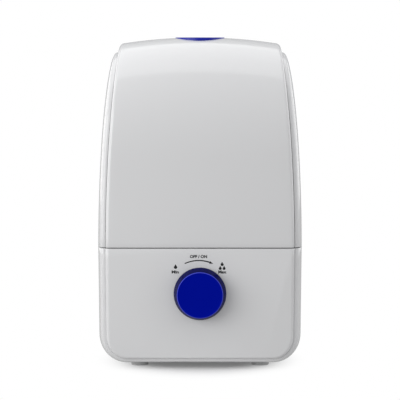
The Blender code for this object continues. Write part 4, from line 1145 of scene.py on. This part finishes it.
stack = block("air_stack_tube", stack_foot - stack_half, stack_head + stack_half, 2 * MM)
stack.data.materials[0] = satin_white
cut(stack, block("stack_bore", stack_foot - stack_inner - clearance,
                 stack_head + stack_inner + clearance, 1 * MM))
smooth(softened(stack, 0.5 * MM))
hand_over(stack, "base", "satin_white_plastic", "air_stack")
CUP_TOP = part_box("mist_maker_cup")[1].z
mist_cup = spun("mist_maker_housing", [
    (18.5 * MM, CUP_TOP - 1 * MM, 0), (18.5 * MM, POCKET_FLOOR - WALL, 1.5 * MM),
    (8.5 * MM, POCKET_FLOOR - WALL, 0.4 * MM), (8.5 * MM, POCKET_FLOOR, 0.4 * MM),
    (16 * MM, POCKET_FLOOR, 1.5 * MM), (16 * MM, CUP_TOP, 0.3 * MM),
    (18.5 * MM, CUP_TOP, 0.3 * MM), (18.5 * MM, CUP_TOP - 1 * MM, 0)],
    (0, TRANSDUCER_Y, 0), satin_white, 96)
hand_over(smooth(mist_cup), "base", "satin_white_plastic", "mist_maker_cup")

# %% [markdown]
# ## Float
# A hollow ring rides on the post and carries a small black magnet; a clip keeps it on.
# %% Float
float_bore = 3.2 * MM
float_ring = spun("float_body", [
    (10 * MM, float_high.z, 0.8 * MM), (10 * MM, float_low.z, 1.2 * MM),
    (float_bore, float_low.z, 0.4 * MM), (float_bore, float_high.z - 4 * MM, 0.2 * MM),
    (6.8 * MM, float_high.z - 4 * MM, 0.2 * MM), (6.8 * MM, float_high.z, 0.3 * MM),
    (9 * MM, float_high.z, 0.3 * MM), (10 * MM, float_high.z - 0.8 * MM, 0)],
    (FLOAT_X, FLOAT_Y, 0), satin_white, 96)
smooth(float_ring)
hand_over(float_ring, "float", "satin_white_plastic", "float_ring")

# %% [markdown]
# ## Tank floor, mist chimney and filler cap
# The tank's floor plate has a threaded neck at one side. The chimney is a turned tube, with a
# bell over the mist maker below and a cup for the nozzle above. The cap has grip ribs, one rib
# repeated round a circle.
# %% Tank floor
floor_low, floor_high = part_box("tank_floor")
NECK_BORE = 15.5 * MM
NECK_OUTER = 17.5 * MM
outline = plate_outline(PLATE_INSET, True)
bm = bmesh.new()
bottom = bm.faces.new([bm.verts.new((x, y + CENTRE_Y, TANK_FLOOR_LOW)) for x, y in outline])
made = bmesh.ops.extrude_face_region(bm, geom=[bottom])["geom"]
for vert in points_of(made):
    vert.co.z = floor_high.z
floor_plate = from_bmesh("floor_plate", bm, satin_white)
neck_hole = (CAP_X, CENTRE_Y)
cut(floor_plate, rod("neck_hole", NECK_BORE, (*neck_hole, floor_low.z), (*neck_hole, SPRING)))
CHIMNEY_OUTER = 19.3 * MM
cut(floor_plate, rod("chimney_hole", CHIMNEY_OUTER + GAP, (0, CENTRE_Y, floor_low.z),
                     (0, CENTRE_Y, SPRING)))
softened(floor_plate, 0.3 * MM)
neck_profile = [(NECK_BORE, floor_high.z - 0.3 * MM, 0), (NECK_BORE, floor_low.z, 0.4 * MM),
                (NECK_OUTER, floor_low.z, 0.4 * MM)]
THREADS = 3
for turn in range(THREADS):
    z = floor_low.z + (2.5 + 3.6 * turn) * MM
    if z + 2 * MM < TANK_FLOOR_LOW:
        neck_profile += [(NECK_OUTER, z, 0.1 * MM), (NECK_OUTER + 0.25 * MM, z + 0.6 * MM, 0.1 * MM),
                         (NECK_OUTER + 0.25 * MM, z + 1.2 * MM, 0.1 * MM),
                         (NECK_OUTER, z + 1.8 * MM, 0.1 * MM)]
neck_profile += [(NECK_OUTER, TANK_FLOOR_LOW + 0.2 * MM, 0),
                 (NECK_OUTER, floor_high.z - 0.3 * MM, 0),
                 (NECK_BORE, floor_high.z - 0.3 * MM, 0)]
neck = spun("neck", neck_profile, (CAP_X, CENTRE_Y, 0), satin_white)
tank_base = joined("tank_base_plate", [floor_plate, neck])
smooth(tank_base, 40)
hand_over(tank_base, "tank", "satin_white_plastic", "tank_floor")

# %% Mist chimney
chimney_low, chimney_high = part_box("mist_chimney")
BELL_RADIUS = (chimney_high.x - chimney_low.x) / 2
CUP_FLOOR = HEIGHT - 9 * MM
CHIMNEY_WALL = 2.3 * MM
CUP_OUTER = NOZZLE_RADIUS + GAP + CHIMNEY_WALL
BELL_TOP = TANK_FLOOR_LOW - 2 * GAP - 1.2 * MM
chimney = spun("mist_tube", [
    (CUP_OUTER, chimney_high.z - 0.5 * MM, 0),
    (CUP_OUTER, CUP_FLOOR - CHIMNEY_WALL, 1.2 * MM),
    (CHIMNEY_OUTER, CUP_FLOOR - 3 * CHIMNEY_WALL, 1.2 * MM),
    (CHIMNEY_OUTER, BELL_TOP, 0.6 * MM),
    (BELL_RADIUS, BELL_TOP, 1.5 * MM),
    (BELL_RADIUS, chimney_low.z, 0.5 * MM),
    (BELL_RADIUS - 2 * MM, chimney_low.z, 0.5 * MM),
    (BELL_RADIUS - 2 * MM, BELL_TOP - 2 * MM, 1 * MM),
    (17 * MM, BELL_TOP - 2 * MM, 0.8 * MM),
    (17 * MM, CUP_FLOOR, 0.5 * MM),
    (NOZZLE_RADIUS + GAP, CUP_FLOOR, 0.6 * MM),
    (NOZZLE_RADIUS + GAP, chimney_high.z, 0.3 * MM),
    (CUP_OUTER, chimney_high.z, 0.3 * MM),
    (CUP_OUTER, chimney_high.z - 0.5 * MM, 0)], (0, CENTRE_Y, 0), satin_white)
smooth(chimney)
hand_over(chimney, "tank", "satin_white_plastic", "mist_chimney")

# %% Filler cap
tank_cap_low, tank_cap_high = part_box("tank_cap")
CAP_FACE = tank_cap_low.z
CAP_OUTER = (tank_cap_high.x - tank_cap_low.x) / 2
CAP_SEAT = CAP_FACE + 2.8 * MM
SKIRT_TOP = TANK_FLOOR_LOW - 2 * MM
cap_body = spun("cap_body", [
    (5 * MM, CAP_FACE, 0.5 * MM), (CAP_OUTER - 0.5 * MM, CAP_FACE, 1 * MM),
    (CAP_OUTER - 0.5 * MM, SKIRT_TOP, 0.4 * MM), (17.8 * MM, SKIRT_TOP, 0.4 * MM),
    (17.8 * MM, CAP_SEAT, 0.5 * MM), (5 * MM, CAP_SEAT, 0.3 * MM),
    (5 * MM, CAP_FACE + 1 * MM, 0), (5 * MM, CAP_FACE, 0)], (CAP_X, CENTRE_Y, 0), satin_white)
RIB_COUNT = 36
rib_shape = block("rib", (-0.9 * MM, -0.8 * MM, CAP_FACE + 1 * MM),
                  (0.45 * MM, 0.8 * MM, SKIRT_TOP - 0.8 * MM), 0.3 * MM)
ribs = pattern("cap_ribs", CIRCLE, (CAP_X, CENTRE_Y, 0), Count=RIB_COUNT,
               Radius=CAP_OUTER - 0.5 * MM, Shape=rib_shape, Finish=satin_white)
BRIDGE_TOP = tank_cap_high.z
BRIDGE_LOW = BRIDGE_TOP - 2 * MM
bridge = block("bridge", (CAP_X - 14.2 * MM, CENTRE_Y - 3 * MM, BRIDGE_LOW),
               (CAP_X + 14.2 * MM, CENTRE_Y + 3 * MM, BRIDGE_TOP), 1.5 * MM)
cut(bridge, rod("guide", 2.4 * MM, (CAP_X, CENTRE_Y, BRIDGE_LOW - 0.01),
                (CAP_X, CENTRE_Y, BRIDGE_TOP + 0.01), 48))
softened(bridge, 0.3 * MM)
bridge_posts = [rod("bridge_post", 1.6 * MM, (CAP_X + side * 12 * MM, CENTRE_Y, CAP_SEAT - 1 * MM),
                    (CAP_X + side * 12 * MM, CENTRE_Y, BRIDGE_LOW + 1 * MM), 32)
                for side in (-1, 1)]
filler_cap = joined("filler_cap_moulding", [cap_body, ribs, bridge, *bridge_posts])
smooth(filler_cap, 40)
hand_over(filler_cap, "filler_cap", "satin_white_plastic", "tank_cap")

# %% [markdown]
# ## Valve, seals and cord hole
# The valve's stem hangs in the cap with a soft disc on its seat. The seals are plain rings with
# rounded corners, and a black bush lines the cord hole in the back.
# %% Small turned pieces
seal_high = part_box("valve_seal")[1]
CAP_AXIS = Vector((CAP_X, CENTRE_Y, 0))
stem = spun("valve_stem_turned", [
    (0, stem_high.z, 0), (2 * MM, stem_high.z, 0.8 * MM),
    (2 * MM, seal_high.z + 2 * MM, 0.4 * MM), (6.5 * MM, seal_high.z + 2 * MM, 0.4 * MM),
    (6.5 * MM, seal_high.z + GAP, 0.4 * MM), (2 * MM, seal_high.z + GAP, 0.1 * MM),
    (2 * MM, stem_low.z, 0.6 * MM), (0, stem_low.z, 0)], CAP_AXIS, satin_white, 64)
smooth(stem)
hand_over(stem, "valve", "satin_white_plastic", "valve_stem")


def ring_piece(name, cad_node, bore, centre, finish, fillet, body, slot_name):
    low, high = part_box(cad_node)
    outer = (high.x - low.x) / 2
    middle = (low.z + high.z) / 2
    piece = spun(name, [
        (outer, middle, 0), (outer, low.z, fillet), (bore, low.z, fillet),
        (bore, high.z, fillet), (outer, high.z, fillet), (outer, middle, 0)],
        centre, finish, 96)
    return hand_over(smooth(piece), body, slot_name, cad_node)


ring_piece("valve_disc", "valve_seal", 2.3 * MM, CAP_AXIS, silicone, 0.5 * MM, "valve",
           "silicone")
ring_piece("cap_seal", "cap_gasket", NECK_BORE + GAP, CAP_AXIS, silicone, 0.5 * MM,
           "filler_cap", "silicone")
ring_piece("chimney_seal_ring", "chimney_seal", CHIMNEY_OUTER + GAP, (0, CENTRE_Y, 0),
           silicone, 0.3 * MM, "tank", "silicone")
ring_piece("magnet_ring", "float_magnet", float_bore, (FLOAT_X, FLOAT_Y, 0), black_plastic,
           0.3 * MM, "float", "black_plastic")
ring_piece("float_keeper", "float_clip", 2.8 * MM, (FLOAT_X, FLOAT_Y, 0), satin_white,
           0.4 * MM, "base", "satin_white_plastic")
ring_piece("mist_maker_disc", "transducer_disc", 0.5 * MM, (0, TRANSDUCER_Y, 0), lapped_brass,
           0.2 * MM, "base", "brass")

GLAND_BORE = 3.6 * MM
gland_outer = (gland_high.x - gland_low.x) / 2
gland = spun("cord_bush", [
    (gland_outer - 3 * MM, 12 * MM, 0.4 * MM), (gland_outer - 3 * MM, -GAP, 0.2 * MM),
    (gland_outer, -GAP, 0.3 * MM), (gland_outer, -(gland_high.y - BACK), 0.7 * MM),
    (GLAND_BORE, -(gland_high.y - BACK), 0.9 * MM), (GLAND_BORE, 12 * MM, 0.4 * MM),
    (gland_outer - 3 * MM, 12 * MM, 0.4 * MM)],
    (GLAND_X, BACK, GLAND_Z), black_plastic, 96, (0, -1, 0))
smooth(gland)
hand_over(gland, "base", "black_plastic", "cord_gland")


# %% [markdown]
# ## Printed legends
# Generic control marks are printed round the knob: off and on at the top, an arrow that grows
# the mist clockwise, one drop for the least and three for the most. Ink has almost no height, so
# each mark is a flat shape a few hundredths of a millimetre in front of the face.
# %% Legends
INK_FRONT = FRONT - 0.05 * MM
INK_DEPTH = 0.04 * MM
INK_SPREAD = 0.06


def printed(name, outlines):
    """Flat ink from outlines of (x, z) points, extruded by the ink's thickness."""
    bm = bmesh.new()
    for outline in outlines:
        face = bm.faces.new([bm.verts.new((x, INK_FRONT, z)) for x, z in outline])
        made = bmesh.ops.extrude_face_region(bm, geom=[face])["geom"]
        for vert in points_of(made):
            vert.co.y = INK_FRONT + INK_DEPTH
    return hand_over(from_bmesh(name, bm, printing_ink), "base", "black_plastic")


def printed_words(name, words, centre, height, width):
    """Plain bold lettering of a given capital height and width, centred on (x, z)."""
    data = bpy.data.curves.new(name, "FONT")
    data.body = words
    data.align_x = "CENTER"
    data.align_y = "CENTER"
    data.size = height / 0.70
    data.extrude = INK_DEPTH / 2
    data.offset = height * INK_SPREAD
    text = bpy.data.objects.new(name, data)
    scene.collection.objects.link(text)
    graph = bpy.context.evaluated_depsgraph_get()
    mesh = bpy.data.meshes.new_from_object(text.evaluated_get(graph), depsgraph=graph)
    bpy.data.objects.remove(text)
    sides = [vert.co.x for vert in mesh.vertices]
    stretch = width / (max(sides) - min(sides))
    for vert in mesh.vertices:
        x, up, out = vert.co
        vert.co = (centre[0] + x * stretch, INK_FRONT + INK_DEPTH / 2 - out, centre[1] + up)
    bm = bmesh.new()
    bm.from_mesh(mesh)
    return hand_over(from_bmesh(name, bm, printing_ink), "base", "black_plastic")


def drop_outline(x, top, height, steps=28):
    """A water drop: a circle below, drawn up to a point."""
    radius = height * 0.37
    centre_z = top - height + radius
    points = []
    for step in range(steps):
        turn = math.tau * step / steps
        up = math.cos(turn)
        pull = max(0.0, up) ** 2.2
        points.append((x + radius * math.sin(turn) * (1 - 0.62 * pull),
                       centre_z + radius * up + (height - 2 * radius) * pull ** 2))
    return points


printed_words("legend_off_on", "OFF / ON", (-1.4 * MM, KNOB_Z + 36.0 * MM), 2.8 * MM,
              16.6 * MM)
printed_words("legend_least", "Min", (-24.0 * MM, KNOB_Z + 21.0 * MM), 2.7 * MM, 7.0 * MM)
printed_words("legend_most", "Max", (21.4 * MM, KNOB_Z + 21.0 * MM), 2.7 * MM, 8.0 * MM)
printed("legend_one_drop", [drop_outline(-23.7 * MM, KNOB_Z + 28.6 * MM, 4.5 * MM)])
printed("legend_three_drops", [drop_outline(21.4 * MM, KNOB_Z + 31.0 * MM, 4.1 * MM),
                               drop_outline(19.6 * MM, KNOB_Z + 27.0 * MM, 3.9 * MM),
                               drop_outline(23.3 * MM, KNOB_Z + 27.0 * MM, 3.9 * MM)])

# %% Arrow
ARROW_RADIUS = 32.3 * MM
ARROW_X = -1.2 * MM
ARROW_START = math.radians(-25)
ARROW_END = math.radians(19)
ARROW_TIP = math.radians(25.5)
ARROW_STEPS = 36
HEAD_HALF = 1.3 * MM


def on_arc(turn, radius):
    return ARROW_X + radius * math.sin(turn), KNOB_Z + radius * math.cos(turn)


outer_arc, inner_arc = [], []
for step in range(ARROW_STEPS + 1):
    share = step / ARROW_STEPS
    turn = ARROW_START + (ARROW_END - ARROW_START) * share
    half = (0.52 + 0.10 * share) * MM
    outer_arc.append(on_arc(turn, ARROW_RADIUS + half))
    inner_arc.append(on_arc(turn, ARROW_RADIUS - half))
head = [on_arc(ARROW_END, ARROW_RADIUS + HEAD_HALF), on_arc(ARROW_TIP, ARROW_RADIUS),
        on_arc(ARROW_END, ARROW_RADIUS - HEAD_HALF)]
printed("legend_arrow", [outer_arc + head + inner_arc[::-1]])
